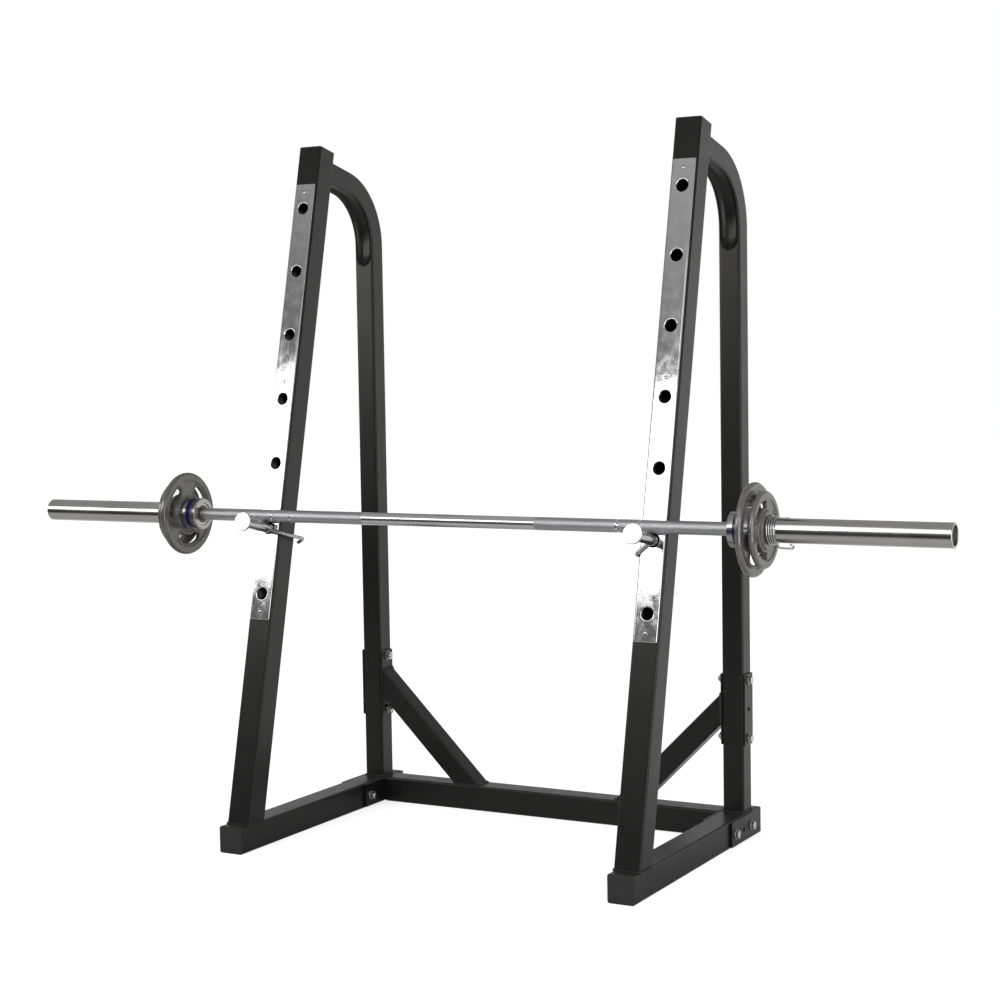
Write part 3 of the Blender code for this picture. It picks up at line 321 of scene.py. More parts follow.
def clouded(name, colour, roughness, metallic, clouds, shades, grain, bump, rough=None):
    """A finish whose shade and roughness follow one noise, under the bump of a finer one.

    Clouds and grain are a noise's scale, detail and stretch; bump is a distance and a strength.
    """
    material, tree, shader, place = finish(name, colour, roughness, metallic)
    cloudy = noise(tree, place, *clouds)
    coloured(tree, shader, cloudy, *shades)
    if rough:
        roughened(tree, shader, cloudy, *rough)
    bumped(tree, shader, noise(tree, place, *grain), *bump)
    return material


# %% [markdown]
# ### Powder coat
#
# The tubes are sprayed with dry black powder that melts in an oven. It flows into a skin with a
# faint orange peel, about a millimetre from crest to crest. A trace of dust lies on faces that
# look up, which a mix by the surface's own normal can add.

# %% Powder coat
DUST = (0.030, 0.029, 0.028)
DUST_COVER = 0.6
WARM_GLOSS = (1.0, 0.975, 0.95, 1.0)


def powder_coat():
    """Satin black powder coat with orange peel and a trace of dust."""
    material, tree, shader, place = finish(
        "black_powder_coat", (0.006, 0.006, 0.006), roughness=0.34, specular=0.40)
    shader.inputs["Specular Tint"].default_value = WARM_GLOSS
    shade = between(tree, noise(tree, place, 9.0, 3.0),
                    (0.0054, 0.0054, 0.0055), (0.0068, 0.0067, 0.0066))
    normal = node(tree, "ShaderNodeNewGeometry").outputs["Normal"]
    upward = node(tree, "ShaderNodeSeparateXYZ", {0: normal}).outputs["Z"]
    dust = sums(tree, "MULTIPLY", ranged(tree, upward, 0.6, 1.0, 0.0, DUST_COVER),
                noise(tree, place, 160.0, 4.0))
    tree.links.new(mixed(tree, dust, shade, (*DUST, 1.0), "RGBA"), shader.inputs["Base Color"])
    roughened(tree, shader, noise(tree, place, 14.0), 0.32, 0.36)
    bumped(tree, shader, noise(tree, place, 850.0, 1.0), 0.0002, 0.20)
    return material


POWDER_COAT = powder_coat()
print(POWDER_COAT.name)

# %% [markdown]
# ### Moulded plastic
#
# The caps that close the tubes and the plugs that close the bar's ends are moulded in a sparked
# steel tool, which leaves a fine even grain and no gloss.

# %% Moulded plastic
def moulded_plastic():
    """Matt black plastic with the grain of a sparked mould."""
    material, tree, shader, place = finish(
        "moulded_black_plastic", (0.020, 0.020, 0.020), roughness=0.56, specular=0.40)
    coloured(tree, shader, noise(tree, place, 40.0, 3.0),
             (0.016, 0.016, 0.016), (0.026, 0.026, 0.025))
    roughened(tree, shader, noise(tree, place, 70.0), 0.50, 0.62)
    bumped(tree, shader, noise(tree, place, 1600.0, 1.0), 0.00015, 0.30)
    return material


MOULDED_PLASTIC = moulded_plastic()
print(MOULDED_PLASTIC.name)

# %% [markdown]
# ### Chrome plate, four ways
#
# Chrome is thin, so it shows the surface under it. The wear strips are sheared from sheet and
# plated: they are wavy and cloudy, and the bar has rubbed fine lines across them. Pins, rods and
# springs are drawn wire and bar, which is smoother. The sleeves are turned, so a very fine
# thread of tool marks runs round them and draws the light out along their length. The collars
# are turned too, and left duller.

# %% Chrome plate
TOOL_MARKS = (1.0, 1.0, (1400.0, 3.0, 3.0))


def strip_chrome():
    """Plated sheet: slow waves, cloudy patches and fine lines across."""
    material, tree, shader, place = finish(
        "strip_chrome", (0.80, 0.80, 0.81), roughness=0.14, metallic=1.0)
    clouds = noise(tree, place, 48.0, 5.0, (1.0, 1.0, 0.7))
    coloured(tree, shader, clouds, (0.64, 0.64, 0.65), (0.92, 0.92, 0.92))
    roughened(tree, shader, clouds, 0.06, 0.14)
    waves = bumped(tree, shader, noise(tree, place, 22.0, 2.0, (1.4, 1.0, 0.6)), 0.004, 0.045)
    mottling = bumped(tree, shader, noise(tree, place, 130.0, 3.0), 0.0006, 0.07, waves)
    rubbed = noise(tree, place, 1.0, 2.0, (30.0, 900.0, 900.0))
    bumped(tree, shader, rubbed, 0.0001, 0.08, mottling)
    return material


STRIP_CHROME = strip_chrome()
BRIGHT_CHROME = clouded(
    "bright_chrome", (0.50, 0.50, 0.51), roughness=0.12, metallic=1.0, clouds=(55.0, 3.0),
    shades=((0.42, 0.42, 0.43), (0.58, 0.58, 0.58)), rough=(0.09, 0.20),
    grain=(160.0, 2.0), bump=(0.0004, 0.10))
TURNED_CHROME = clouded(
    "turned_chrome", (0.56, 0.55, 0.54), roughness=0.17, metallic=1.0, clouds=(12.0, 3.0),
    shades=((0.48, 0.47, 0.46), (0.56, 0.55, 0.54)), rough=(0.13, 0.21),
    grain=TOOL_MARKS, bump=(0.0001, 0.10))
COLLAR_STEEL = clouded(
    "collar_steel", (0.50, 0.49, 0.47), roughness=0.22, metallic=1.0, clouds=(12.0, 3.0),
    shades=((0.38, 0.37, 0.36), (0.50, 0.49, 0.47)), rough=(0.18, 0.26),
    grain=TOOL_MARKS, bump=(0.0001, 0.10))
print(STRIP_CHROME.name, BRIGHT_CHROME.name, TURNED_CHROME.name, COLLAR_STEEL.name)

# %% [markdown]
# ### The shaft's knurling
#
# The shaft is satin chrome, with a diamond knurl rolled into its grip zones and a polished
# middle. The knurl is 1.2 mm from crest to crest, far too fine for a mesh of a 2 m bar. It is a
# height made by two sets of helical waves, from the angle round the shaft and the place along
# it. A mask leaves the middle and the ring marks smooth, and they shine more.

# %% Knurled satin steel
sleeve_low, sleeve_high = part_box("right_sleeve")
BAR_Y = (sleeve_low.y + sleeve_high.y) / 2
BAR_Z = (sleeve_low.z + sleeve_high.z) / 2
SHAFT_DIAMETER = 0.028
KNURL_PITCH = 0.0012
KNURL_CRESTS = round(math.pi * SHAFT_DIAMETER / KNURL_PITCH)
KNURL_DULLNESS = 0.15
SMOOTH_MIDDLE = 0.215
RING_MARKS = (0.405, 0.455)
RING_MARK_WIDTH = 0.006


def knurled_steel():
    """Satin chrome with a diamond knurl outside the polished middle and the ring marks."""
    material, tree, shader, place = finish(
        "knurled_satin_steel", (0.60, 0.60, 0.61), roughness=0.34, metallic=1.0)
    centred = node(tree, "ShaderNodeMapping", {"Vector": place, "Location": (0.0, -BAR_Y, -BAR_Z)})
    axes = node(tree, "ShaderNodeSeparateXYZ", {0: centred.outputs["Vector"]}).outputs
    around = sums(tree, "ARCTAN2", axes["Z"], axes["Y"])
    turns = sums(tree, "MULTIPLY", around, float(KNURL_CRESTS))
    along = sums(tree, "MULTIPLY", axes["X"], 2 * math.pi / KNURL_PITCH)
    right_hand = sums(tree, "SINE", sums(tree, "ADD", turns, along))
    left_hand = sums(tree, "SINE", sums(tree, "SUBTRACT", turns, along))
    diamonds = sums(tree, "MULTIPLY", right_hand, left_hand)
    off_middle = sums(tree, "ABSOLUTE", axes["X"])
    rough = sums(tree, "GREATER_THAN", off_middle, SMOOTH_MIDDLE)
    for mark in RING_MARKS:
        beside = sums(tree, "ABSOLUTE", sums(tree, "SUBTRACT", off_middle, mark))
        outside = sums(tree, "GREATER_THAN", beside, RING_MARK_WIDTH / 2)
        rough = sums(tree, "MULTIPLY", rough, outside)
    clouds = noise(tree, place, 14.0, 3.0)
    satin = between(tree, clouds, (0.44, 0.44, 0.45), (0.54, 0.54, 0.55))
    polish = between(tree, clouds, (0.64, 0.64, 0.65), (0.76, 0.76, 0.77))
    tree.links.new(mixed(tree, rough, polish, satin, "RGBA"), shader.inputs["Base Color"])
    grain = ranged(tree, noise(tree, place, 20.0), 0.3, 0.7, 0.17, 0.21)
    dullness = sums(tree, "MULTIPLY_ADD", rough, KNURL_DULLNESS, grain)
    tree.links.new(dullness, shader.inputs["Roughness"])
    bumped(tree, shader, sums(tree, "MULTIPLY", diamonds, rough), 0.0002, 0.35)
    return material


KNURLED_STEEL = knurled_steel()
print(KNURLED_STEEL.name, KNURL_CRESTS, "crests round the shaft")

# %% [markdown]
# ### Zinc, iron, ring and bronze
#
# The bolts are zinc plated. The plates are cast iron under a grey hammertone enamel, whose
# surface pulls together into cells a few millimetres wide: a Voronoi texture has that look. The
# blue ring is glossy plastic, and the bushings are sintered bronze.

# %% The other finishes
def hammertone():
    """Grey hammertone enamel on cast iron."""
    material, tree, shader, place = finish(
        "grey_hammertone", (0.17, 0.166, 0.16), roughness=0.19, metallic=0.55)
    cells = node(tree, "ShaderNodeTexVoronoi", {"Vector": place, "Scale": 260.0},
                 feature="SMOOTH_F1").outputs["Distance"]
    spots = sums(tree, "MULTIPLY", ranged(tree, cells, 0.1, 0.7, 1.0, 0.0),
                 noise(tree, place, 420.0, 3.0))
    coloured(tree, shader, spots, (0.14, 0.137, 0.132), (0.215, 0.210, 0.204))
    roughened(tree, shader, noise(tree, place, 45.0), 0.16, 0.21)
    cast = bumped(tree, shader, noise(tree, place, 60.0), 0.0008, 0.05)
    bumped(tree, shader, cells, 0.0003, 0.10, cast)
    return material


HAMMERTONE = hammertone()
ZINC_PLATE = clouded(
    "zinc_plate", (0.66, 0.66, 0.64), roughness=0.26, metallic=1.0, clouds=(180.0, 3.0),
    shades=((0.58, 0.58, 0.57), (0.76, 0.76, 0.75)), rough=(0.20, 0.34),
    grain=(700.0,), bump=(0.0001, 0.15))
BLUE_RING = clouded(
    "blue_ring", (0.007, 0.011, 0.055), roughness=0.14, metallic=0.0, clouds=(60.0,),
    shades=((0.006, 0.009, 0.045), (0.009, 0.013, 0.065)), grain=(900.0,), bump=(0.0001, 0.10))
BRONZE = clouded(
    "sintered_bronze", (0.20, 0.145, 0.085), roughness=0.42, metallic=1.0, clouds=(500.0, 3.0),
    shades=((0.13, 0.090, 0.050), (0.26, 0.19, 0.11)), grain=(1500.0,), bump=(0.0002, 0.35))
print(len(bpy.data.materials), "materials in the file")

# %% [markdown]
# ## Shaping tools
#
# A few helpers make all the pieces. One skins a row of outlines, one turns a profile, one makes
# a flat plate with rounded edges, and one bends a wire. They return plain meshes whose vertices
# already stand where the piece belongs, because every finished object sits at the origin.


# %% Read an object back as a plain mesh
def evaluated(item):
    """The plain mesh that an object's modifiers or curve make; the object is removed."""
    bpy.context.view_layer.update()
    graph = bpy.context.evaluated_depsgraph_get()
    mesh = bpy.data.meshes.new_from_object(item.evaluated_get(graph))
    bpy.data.objects.remove(item)
    return mesh


def cleaned(mesh, distance=0.00001):
    """Merge doubled points and turn the faces of closed bodies outwards."""
    work = bmesh.new()
    work.from_mesh(mesh)
    bmesh.ops.remove_doubles(work, verts=work.verts, dist=distance)
    bmesh.ops.recalc_face_normals(work, faces=work.faces)
    work.to_mesh(mesh)
    work.free()
    return mesh


def moved(mesh, matrix):
    """The same mesh with a matrix applied to its points."""
    mesh.transform(matrix)
    return mesh


def joined(name, meshes):
    """One mesh made of several that don't have to touch."""
    work = bmesh.new()
    for mesh in meshes:
        work.from_mesh(mesh)
    return built(name, work)


def carved(mesh, tool, operation):
    """A mesh with another cut out, joined on or kept only where both are."""
    item = link("carved", mesh)
    helper = link("carving_tool", tool)
    change = item.modifiers.new("carve", "BOOLEAN")
    change.operation = operation
    change.object = helper
    change.solver = "EXACT"
    result = evaluated(item)
    bpy.data.objects.remove(helper)
    return result


# %% Put a finished piece in the rack
SHARP = math.radians(32.0)


def flat_faced(mesh):
    """Weigh the normals by area, so that a flat face stays flat up to its rounded edge."""
    item = link("normals", mesh)
    weigh = item.modifiers.new("weigh", "WEIGHTED_NORMAL")
    weigh.keep_sharp = True
    return evaluated(item)


def piece(name, mesh, material, body, slot, *nodes):
    """A finished piece: its material, the body that it rides on and the solids that it replaces."""
    mesh.materials.clear()
    mesh.materials.append(material)
    mesh.shade_smooth()
    mesh.set_sharp_from_angle(angle=SHARP)
    mesh = flat_faced(mesh)
    mesh.name = name
    item = link(name, mesh)
    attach(item, body)
    if nodes:
        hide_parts(*nodes)
    print(name, len(mesh.polygons), "faces on", body)
    return item


def painted(name, mesh, *nodes):
    """A finished piece of the frame in black powder coat."""
    return piece(name, mesh, POWDER_COAT, "rack", "black_paint", *nodes)


# %% Round the corners of a drawing
def rounded(points, radius, steps=5, closed=True):
    """Arcs in place of corners. A point is a tuple, which may end in a radius of its own."""
    corners = [Vector(point[:2]) for point in points]
    radii = [point[2] if len(point) > 2 else radius for point in points]
    drawing = []
    last = len(corners) - 1
    for index, corner in enumerate(corners):
        if radii[index] == 0 or (not closed and index in (0, last)):
            drawing.append(corner)
            continue
        back = (corners[index - 1] - corner).normalized()
        onward = (corners[(index + 1) % len(corners)] - corner).normalized()
        half = back.angle(onward) / 2
        centre = corner + (back + onward).normalized() * radii[index] / math.sin(half)
        run = radii[index] / math.tan(half)
        first = corner + back * run - centre
        final = corner + onward * run - centre
        sweep = math.pi - 2 * half
        for step in range(steps + 1):
            angle = sweep * step / steps
            arm = (first * math.sin(sweep - angle) + final * math.sin(angle)) / math.sin(sweep)
            drawing.append(centre + arm)
    return drawing


def rectangle(half_width, low, high, corner, steps=5):
    """A rectangle with rounded corners, drawn anticlockwise."""
    return rounded([(half_width, low), (half_width, high), (-half_width, high), (-half_width, low)],
                   corner, steps)


def square(size, corner, steps=5):
    """A square with rounded corners about the middle."""
    return rectangle(size / 2, -size / 2, size / 2, corner, steps)


def circle(middle, radius, steps, way=1):
    """A round drawing; way -1 draws it clockwise, as a hole."""
    turn = way * 2 * math.pi / steps
    return [Vector(middle) + radius * Vector((math.cos(turn * step), math.sin(turn * step)))
            for step in range(steps)]


def raised(drawing, height):
    """A flat drawing as points in space at one height."""
    return [Vector((*spot, height)) for spot in drawing]


# %% Skin a row of outlines
def band_faces(work, rows):
    """Four-sided faces all the way round between neighbouring rows of points."""
    for low, high in zip(rows, rows[1:]):
        for index in range(len(low)):
            after = (index + 1) % len(low)
            work.faces.new((low[index], low[after], high[after], high[index]))


def skinned(name, rings, capped=False):
    """A skin over outlines that have the same number of points, from the first to the last."""
    work = bmesh.new()
    rows = [[work.verts.new(point) for point in ring] for ring in rings]
    band_faces(work, rows)
    if capped:
        work.faces.new(list(reversed(rows[0])))
        work.faces.new(rows[-1])
    return built(name, work)


def along_path(path, across, section, shaped=None):
    """Outlines set square to a flat path. Across is the direction that the path never turns to."""
    rings = []
    for index, point in enumerate(path):
        before = path[max(index - 1, 0)]
        after = path[min(index + 1, len(path) - 1)]
        forward = (after - before).normalized()
        upward = forward.cross(across)
        drawing = section if shaped is None else shaped(section, point)
        rings.append([point + across * spot.x + upward * spot.y for spot in drawing])
    return rings


def slid(ring, direction, plane_point, plane_normal):
    """An outline moved along a direction until it lies in a plane, as a saw cut leaves it."""
    slope = direction.dot(plane_normal)
    return [point + direction * ((plane_point - point).dot(plane_normal) / slope) for point in ring]


def walled(mesh):
    """Give an open skin the wall of a tube, inwards."""
    item = link("skin", mesh)
    wall = item.modifiers.new("wall", "SOLIDIFY")
    wall.thickness = WALL
    wall.offset = -1.0
    wall.use_even_offset = True
    return evaluated(item)


# %% Turn a profile
def chain(count, closed):
    """Edges from each point to the next, and back to the first if closed."""
    return [(index, (index + 1) % count) for index in range(count if closed else count - 1)]


def turned(name, profile, steps, ring=False):
    """A profile of (radius, height) points turned about Z; a ring's profile is closed."""
    mesh = bpy.data.meshes.new(name)
    points = [(point[0], 0.0, point[1]) for point in profile]
    mesh.from_pydata(points, chain(len(points), ring), [])
    item = link(name, mesh)
    screw = item.modifiers.new("turn", "SCREW")
    screw.steps = steps
    screw.render_steps = steps
    screw.use_merge_vertices = True
    screw.merge_threshold = 0.000001
    return cleaned(evaluated(item), 0.000002)


# %% Make a flat plate with rounded edges
def inset(loop, distance):
    """A loop moved to its left, with mitred corners."""
    result = []
    for index, point in enumerate(loop):
        before = (point - loop[index - 1]).normalized()
        after = (loop[(index + 1) % len(loop)] - point).normalized()
        left = Vector((-after.y, after.x))
        across = (Vector((-before.y, before.x)) + left).normalized()
        result.append(point + across * distance / across.dot(left))
    return result


def edge_levels(thickness, back_edge, front_edge, steps):
    """How far a loop is moved in at each height, with both of its edges rounded."""
    quarter = [math.pi / 2 * step / steps for step in range(steps + 1)]
    back = [(back_edge * (1 - math.sin(a)), -thickness / 2 + back_edge * (1 - math.cos(a)))
            for a in quarter]
    front = [(front_edge * (1 - math.sin(a)), thickness / 2 - front_edge * (1 - math.cos(a)))
             for a in reversed(quarter)]
    return back + front


def plate(name, loops, thickness, edge, steps=3, front_edges=None):
    """A plate about Z = 0. Its outline runs anticlockwise and its holes clockwise.

    Each loop may have a front edge of its own, rounder than the back one.
    """
    work = bmesh.new()
    borders = ([], [])
    for loop, front_edge in zip(loops, front_edges or [edge] * len(loops)):
        levels = edge_levels(thickness, edge, front_edge, steps)
        rows = [[work.verts.new(point) for point in raised(inset(loop, depth), height)]
                for depth, height in levels]
        band_faces(work, rows)
        for row, border in zip((rows[0], rows[-1]), borders):
            border += [work.edges.get((row[first], row[second]))
                       for first, second in chain(len(row), True)]
    for border in borders:
        bmesh.ops.triangle_fill(work, use_beauty=True, edges=border)
    bmesh.ops.recalc_face_normals(work, faces=work.faces)
    return built(name, work)


# %% Bend a wire
END_ROUNDING = 0.5


def wire(name, points, radius, sides):
    """A round wire along points, with softened ends."""
    ends = []
    for end, inner in ((points[0], points[1]), (points[-1], points[-2])):
        outward = (end - inner).normalized() * radius * END_ROUNDING
        ends.append([(end + outward * (math.sin(angle) - 1),
                      1 - END_ROUNDING * (1 - math.cos(angle)))
                     for angle in (0.0, math.pi / 6, math.pi / 3, math.pi / 2)])
    row = list(reversed(ends[0])) + [(point, 1.0) for point in points[1:-1]] + ends[1]
    curve = bpy.data.curves.new(name, "CURVE")
    curve.dimensions = "3D"
    spline = curve.splines.new("POLY")
    spline.points.add(len(row) - 1)
    for slot, (point, share) in zip(spline.points, row):
        slot.co = (*point, 1.0)
        slot.radius = share
    curve.bevel_depth = radius
    curve.bevel_resolution = sides
    curve.use_fill_caps = True
    return cleaned(evaluated(link(name, curve)))


def smooth_path(points, steps):
    """A smooth path through points, with more between them."""
    path = []
    for index in range(len(points) - 1):
        first, second = points[index], points[index + 1]
        before = points[max(index - 1, 0)]
        after = points[min(index + 2, len(points) - 1)]
        for step in range(steps):
            t = step / steps
            path.append(0.5 * (2 * first + (second - before) * t
                               + (2 * before - 5 * first + 4 * second - after) * t ** 2
                               + (3 * first - before - 3 * second + after) * t ** 3))
    path.append(points[-1])
    return path


# %% [markdown]
# ## Geometry Nodes for what repeats
#
# Three small trees do the repeated work. One drills a row of holes, as a jig does. One sets
# bolts, nuts or rivets on marked points. One runs a weld bead along a seam, with the ripples of
# a bead that was laid drop by drop. Each tree has named inputs, so a change is one number.


# %% Start and run a tree
def new_tree(name, inputs):
    """A geometry tree with a geometry in and out, and its named inputs."""
    tree = bpy.data.node_groups.new(name, "GeometryNodeTree")
    tree.interface.new_socket("Geometry", in_out="INPUT", socket_type="NodeSocketGeometry")
    for label, kind in inputs:
        tree.interface.new_socket(label, in_out="INPUT", socket_type="NodeSocket" + kind)
    tree.interface.new_socket("Geometry", in_out="OUTPUT", socket_type="NodeSocketGeometry")
    return tree, node(tree, "NodeGroupInput").outputs


def end_tree(tree, geometry, material):
    """Realize what the tree made and give it its material."""
    real = node(tree, "GeometryNodeRealizeInstances", {"Geometry": geometry})
    coated = node(tree, "GeometryNodeSetMaterial", {
        "Geometry": real.outputs[0], "Material": material})
    node(tree, "NodeGroupOutput", {"Geometry": coated.outputs[0]})


def run_tree(tree, mesh, values):
    """The plain mesh that a tree makes of a mesh; the modifier goes with its object."""
    item = link(tree.name, mesh)
    modifier = item.modifiers.new(tree.name, "NODES")
    modifier.node_group = tree
    for socket in tree.interface.items_tree:
        if socket.in_out == "INPUT" and socket.name in values:
            modifier[socket.identifier] = values[socket.name]
    return evaluated(item)


# %% A tree that drills a row of holes
DRILL, given = new_tree("drill_row", [
    ("Hole diameter", "Float"), ("Drill length", "Float"), ("Sides", "Int"), ("Count", "Int"),
    ("First hole", "Vector"), ("Step", "Vector"), ("Facing", "Vector"), ("Finish", "Material")])
drill_bit = node(DRILL, "GeometryNodeMeshCylinder", {
    "Vertices": given["Sides"], "Depth": given["Drill length"],
    "Radius": sums(DRILL, "DIVIDE", given["Hole diameter"], 2.0)})
hole_places = node(DRILL, "GeometryNodeMeshLine", {
    "Count": given["Count"], "Start Location": given["First hole"],
    "Offset": given["Step"]}, mode="OFFSET")
drill_turn = node(DRILL, "FunctionNodeEulerToRotation", {"Euler": given["Facing"]})
drill_bits = node(DRILL, "GeometryNodeInstanceOnPoints", {
    "Points": hole_places.outputs[0], "Instance": drill_bit.outputs["Mesh"],
    "Rotation": drill_turn.outputs[0]})
real_bits = node(DRILL, "GeometryNodeRealizeInstances", {"Geometry": drill_bits.outputs[0]})
drilled_part = node(DRILL, "GeometryNodeMeshBoolean", {
    "Mesh 1": given["Geometry"], "Mesh 2": real_bits.outputs[0]},
    operation="DIFFERENCE", solver="EXACT")
end_tree(DRILL, drilled_part.outputs["Mesh"], given["Finish"])

ACROSS = (0.0, math.pi / 2, 0.0)
DRILL_LENGTH = 0.2
BOLT_HOLE = 0.011


def drilled(mesh, first, step, count, diameter=BOLT_HOLE, facing=ACROSS, sides=32):
    """Drill a row of round holes through a painted piece."""
    return run_tree(DRILL, mesh, {
        "Hole diameter": diameter, "Drill length": DRILL_LENGTH, "Sides": sides, "Count": count,
        "First hole": tuple(first), "Step": tuple(step), "Facing": facing, "Finish": POWDER_COAT})


print(DRILL.name, len(DRILL.nodes), "nodes")

# %% A tree that sets a part on marked points
SCATTER, given = new_tree("set_parts", [("Part", "Object"), ("Finish", "Material")])
part_shape = node(SCATTER, "GeometryNodeObjectInfo", {"Object": given["Part"]})
way = node(SCATTER, "GeometryNodeInputNamedAttribute", {"Name": "facing"}, data_type="FLOAT_VECTOR")
part_turn = node(SCATTER, "FunctionNodeEulerToRotation", {"Euler": way.outputs["Attribute"]})
set_parts = node(SCATTER, "GeometryNodeInstanceOnPoints", {
    "Points": given["Geometry"], "Instance": part_shape.outputs["Geometry"],
    "Rotation": part_turn.outputs[0]})
end_tree(SCATTER, set_parts.outputs[0], given["Finish"])


def placed(name, part, marks, material):
    """Copies of a part on marks, each a place and the Euler turn of the part there."""
    mesh = bpy.data.meshes.new(name)
    mesh.from_pydata([tuple(place) for place, _ in marks], [], [])
    facing = mesh.attributes.new("facing", "FLOAT_VECTOR", "POINT")
    for slot, (_, turn) in zip(facing.data, marks):
        slot.vector = tuple(turn)
    sample = link(name + "_sample", part)
    result = run_tree(SCATTER, mesh, {"Part": sample, "Finish": material})
    bpy.data.objects.remove(sample)
    return result


print(SCATTER.name, len(SCATTER.nodes), "nodes")

# %% A tree that lays a weld bead
RIPPLE_LENGTH = 0.0034
RIPPLE_LOW = 0.80
RIPPLE_RISE = 0.22
WANDER_SCALE = 90.0
BEAD_SIDES = 10

BEAD, given = new_tree("weld_bead", [
    ("Bead radius", "Float"), ("Ripple", "Float"), ("Unevenness", "Float"), ("Seed", "Float"),
    ("Finish", "Material")])
seam = node(BEAD, "GeometryNodeMeshToCurve", {"Mesh": given["Geometry"]})
fine_seam = node(BEAD, "GeometryNodeResampleCurve", {
    "Curve": seam.outputs[0], "Length": sums(BEAD, "DIVIDE", given["Ripple"], 5.0)}, mode="LENGTH")
travel = node(BEAD, "GeometryNodeSplineParameter").outputs["Length"]
phase = sums(BEAD, "MULTIPLY", sums(BEAD, "DIVIDE", travel, given["Ripple"]), math.pi)
crests = sums(BEAD, "ABSOLUTE", sums(BEAD, "SINE", phase))
drops = sums(BEAD, "MULTIPLY_ADD", crests, RIPPLE_RISE, RIPPLE_LOW)
wander = node(BEAD, "ShaderNodeTexNoise", {
    "W": given["Seed"], "Scale": WANDER_SCALE, "Detail": 1.0}, noise_dimensions="4D").outputs[0]
uneven = sums(BEAD, "MULTIPLY_ADD", sums(BEAD, "SUBTRACT", wander, 0.5), given["Unevenness"], 1.0)
bead_round = node(BEAD, "GeometryNodeCurvePrimitiveCircle", {
    "Resolution": BEAD_SIDES, "Radius": given["Bead radius"]}, mode="RADIUS")
bead_skin = node(BEAD, "GeometryNodeCurveToMesh", {
    "Curve": fine_seam.outputs[0], "Profile Curve": bead_round.outputs[0],
    "Scale": sums(BEAD, "MULTIPLY", drops, uneven), "Fill Caps": True})
end_tree(BEAD, bead_skin.outputs[0], given["Finish"])


def bead(points, radius, seed, closed=True, material=POWDER_COAT):
    """A rippled weld bead along points."""
    mesh = bpy.data.meshes.new("seam")
    mesh.from_pydata([tuple(point) for point in points], chain(len(points), closed), [])
    return cleaned(run_tree(BEAD, mesh, {
        "Bead radius": radius, "Ripple": RIPPLE_LENGTH, "Unevenness": 0.5, "Seed": float(seed),
        "Finish": material}))


print(BEAD.name, len(BEAD.nodes), "nodes")

# %% [markdown]
# ## Legs and their caps
#
# A leg is a length of 60 mm square tube, drawn through a die, which rounds its corners. It is
# skinned from one rounded square and gets its wall by Solidify, so both sides are true. A plastic
# cap closes its front: a flange outside and a ribbed plug inside.

# %% Legs
UP = Vector((0.0, 0.0, 1.0))
BACK = Vector((0.0, 1.0, 0.0))
RIGHT = Vector((1.0, 0.0, 0.0))
BOLT_LABELS = ("leg_front", "leg_rear", "brace_lower", "brace_upper")


def middle_of(name):
    """The middle of a solid's box."""
    low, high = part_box(name)
    return (low + high) / 2


leg_bolt_front = middle_of("right_leg_front_bolt")
leg_bolt_rear = middle_of("right_leg_rear_bolt")
BOLT_Z = leg_bolt_front.z
for side, sign in SIDES:
    ends = [Vector((sign * SIDE_X, y, LEG_MIDDLE)) for y in (leg_low.y, leg_high.y)]
    leg = walled(skinned("leg", along_path(ends, RIGHT, square(LEG_SIZE, TUBE_CORNER))))
    leg = drilled(leg, (sign * SIDE_X, leg_bolt_front.y, BOLT_Z),
                  (0.0, leg_bolt_rear.y - leg_bolt_front.y, 0.0), 2)
    painted(side + "_leg_tube", leg, side + "_base_leg")

# %% Caps
CAP_EDGE = 0.0012
CAP_CROWN = 0.0004
CAP_BACK_EDGE = 0.0004
PLUG_DEPTH = 0.018
PLUG_TAPER = 0.002
FACING_FRONT = Matrix.Rotation(math.pi / 2, 4, "X")


def cap_mesh(size):
    """A cap about Z: its flange's outer face is at Z = 0 and its plug points down."""
    plug = size - 2 * WALL - 2 * GAP
    quarter = [math.pi / 2 * step / 4 for step in range(5)]
    plug_end = -CAP_FLANGE - PLUG_DEPTH
    levels = [(plug - PLUG_TAPER, plug_end), (plug, plug_end + PLUG_TAPER), (plug, -CAP_FLANGE),
              (size - CAP_BACK_EDGE, -CAP_FLANGE), (size, -CAP_FLANGE + CAP_BACK_EDGE)]
    levels += [(size - 2 * CAP_EDGE * (1 - math.cos(angle)),
                -CAP_CROWN - CAP_EDGE * (1 - math.sin(angle))) for angle in quarter]
    levels += [(size * share, -CAP_CROWN * share ** 2) for share in (0.8, 0.5, 0.2)]
    return skinned("cap", [raised(square(width, min(TUBE_CORNER, width / 2.5)), height)
                           for width, height in levels], capped=True)


def cap(name, size, place, solid):
    """A finished cap in its place."""
    piece(name, moved(cap_mesh(size), place), MOULDED_PLASTIC, "rack", "black_plastic", solid)


for side, sign in SIDES:
    on_leg = Matrix.Translation((sign * SIDE_X, FRONT_Y, LEG_MIDDLE)) @ FACING_FRONT
    cap(side + "_leg_end_cap", LEG_SIZE, on_leg, side + "_leg_cap")

# %% [markdown]
# ## Front uprights
#
# Each upright leans back by about 13 degrees and is drilled through every 150 mm for the bar
# catch. Its foot is sawn to the angle of the leg that it stands on, so the last outline of the
# skin slides along the tube until it lies in the leg's top plane. The drilling tree makes the
# holes, through both walls at once.

# %% Front uprights
HOLE_DIAMETER = 0.0265
HOLE_SIDES = 48
HOLE_COUNT = 7
HOLE_PITCH = 0.150
FIRST_HOLE = 0.519
LEANING_BACK = Matrix.Rotation(-LEAN, 4, "X")
UPRIGHT_UP = LEANING_BACK.to_3x3() @ UP
SQUARE_TO_UPRIGHT = (math.pi / 2 - LEAN, 0.0, 0.0)


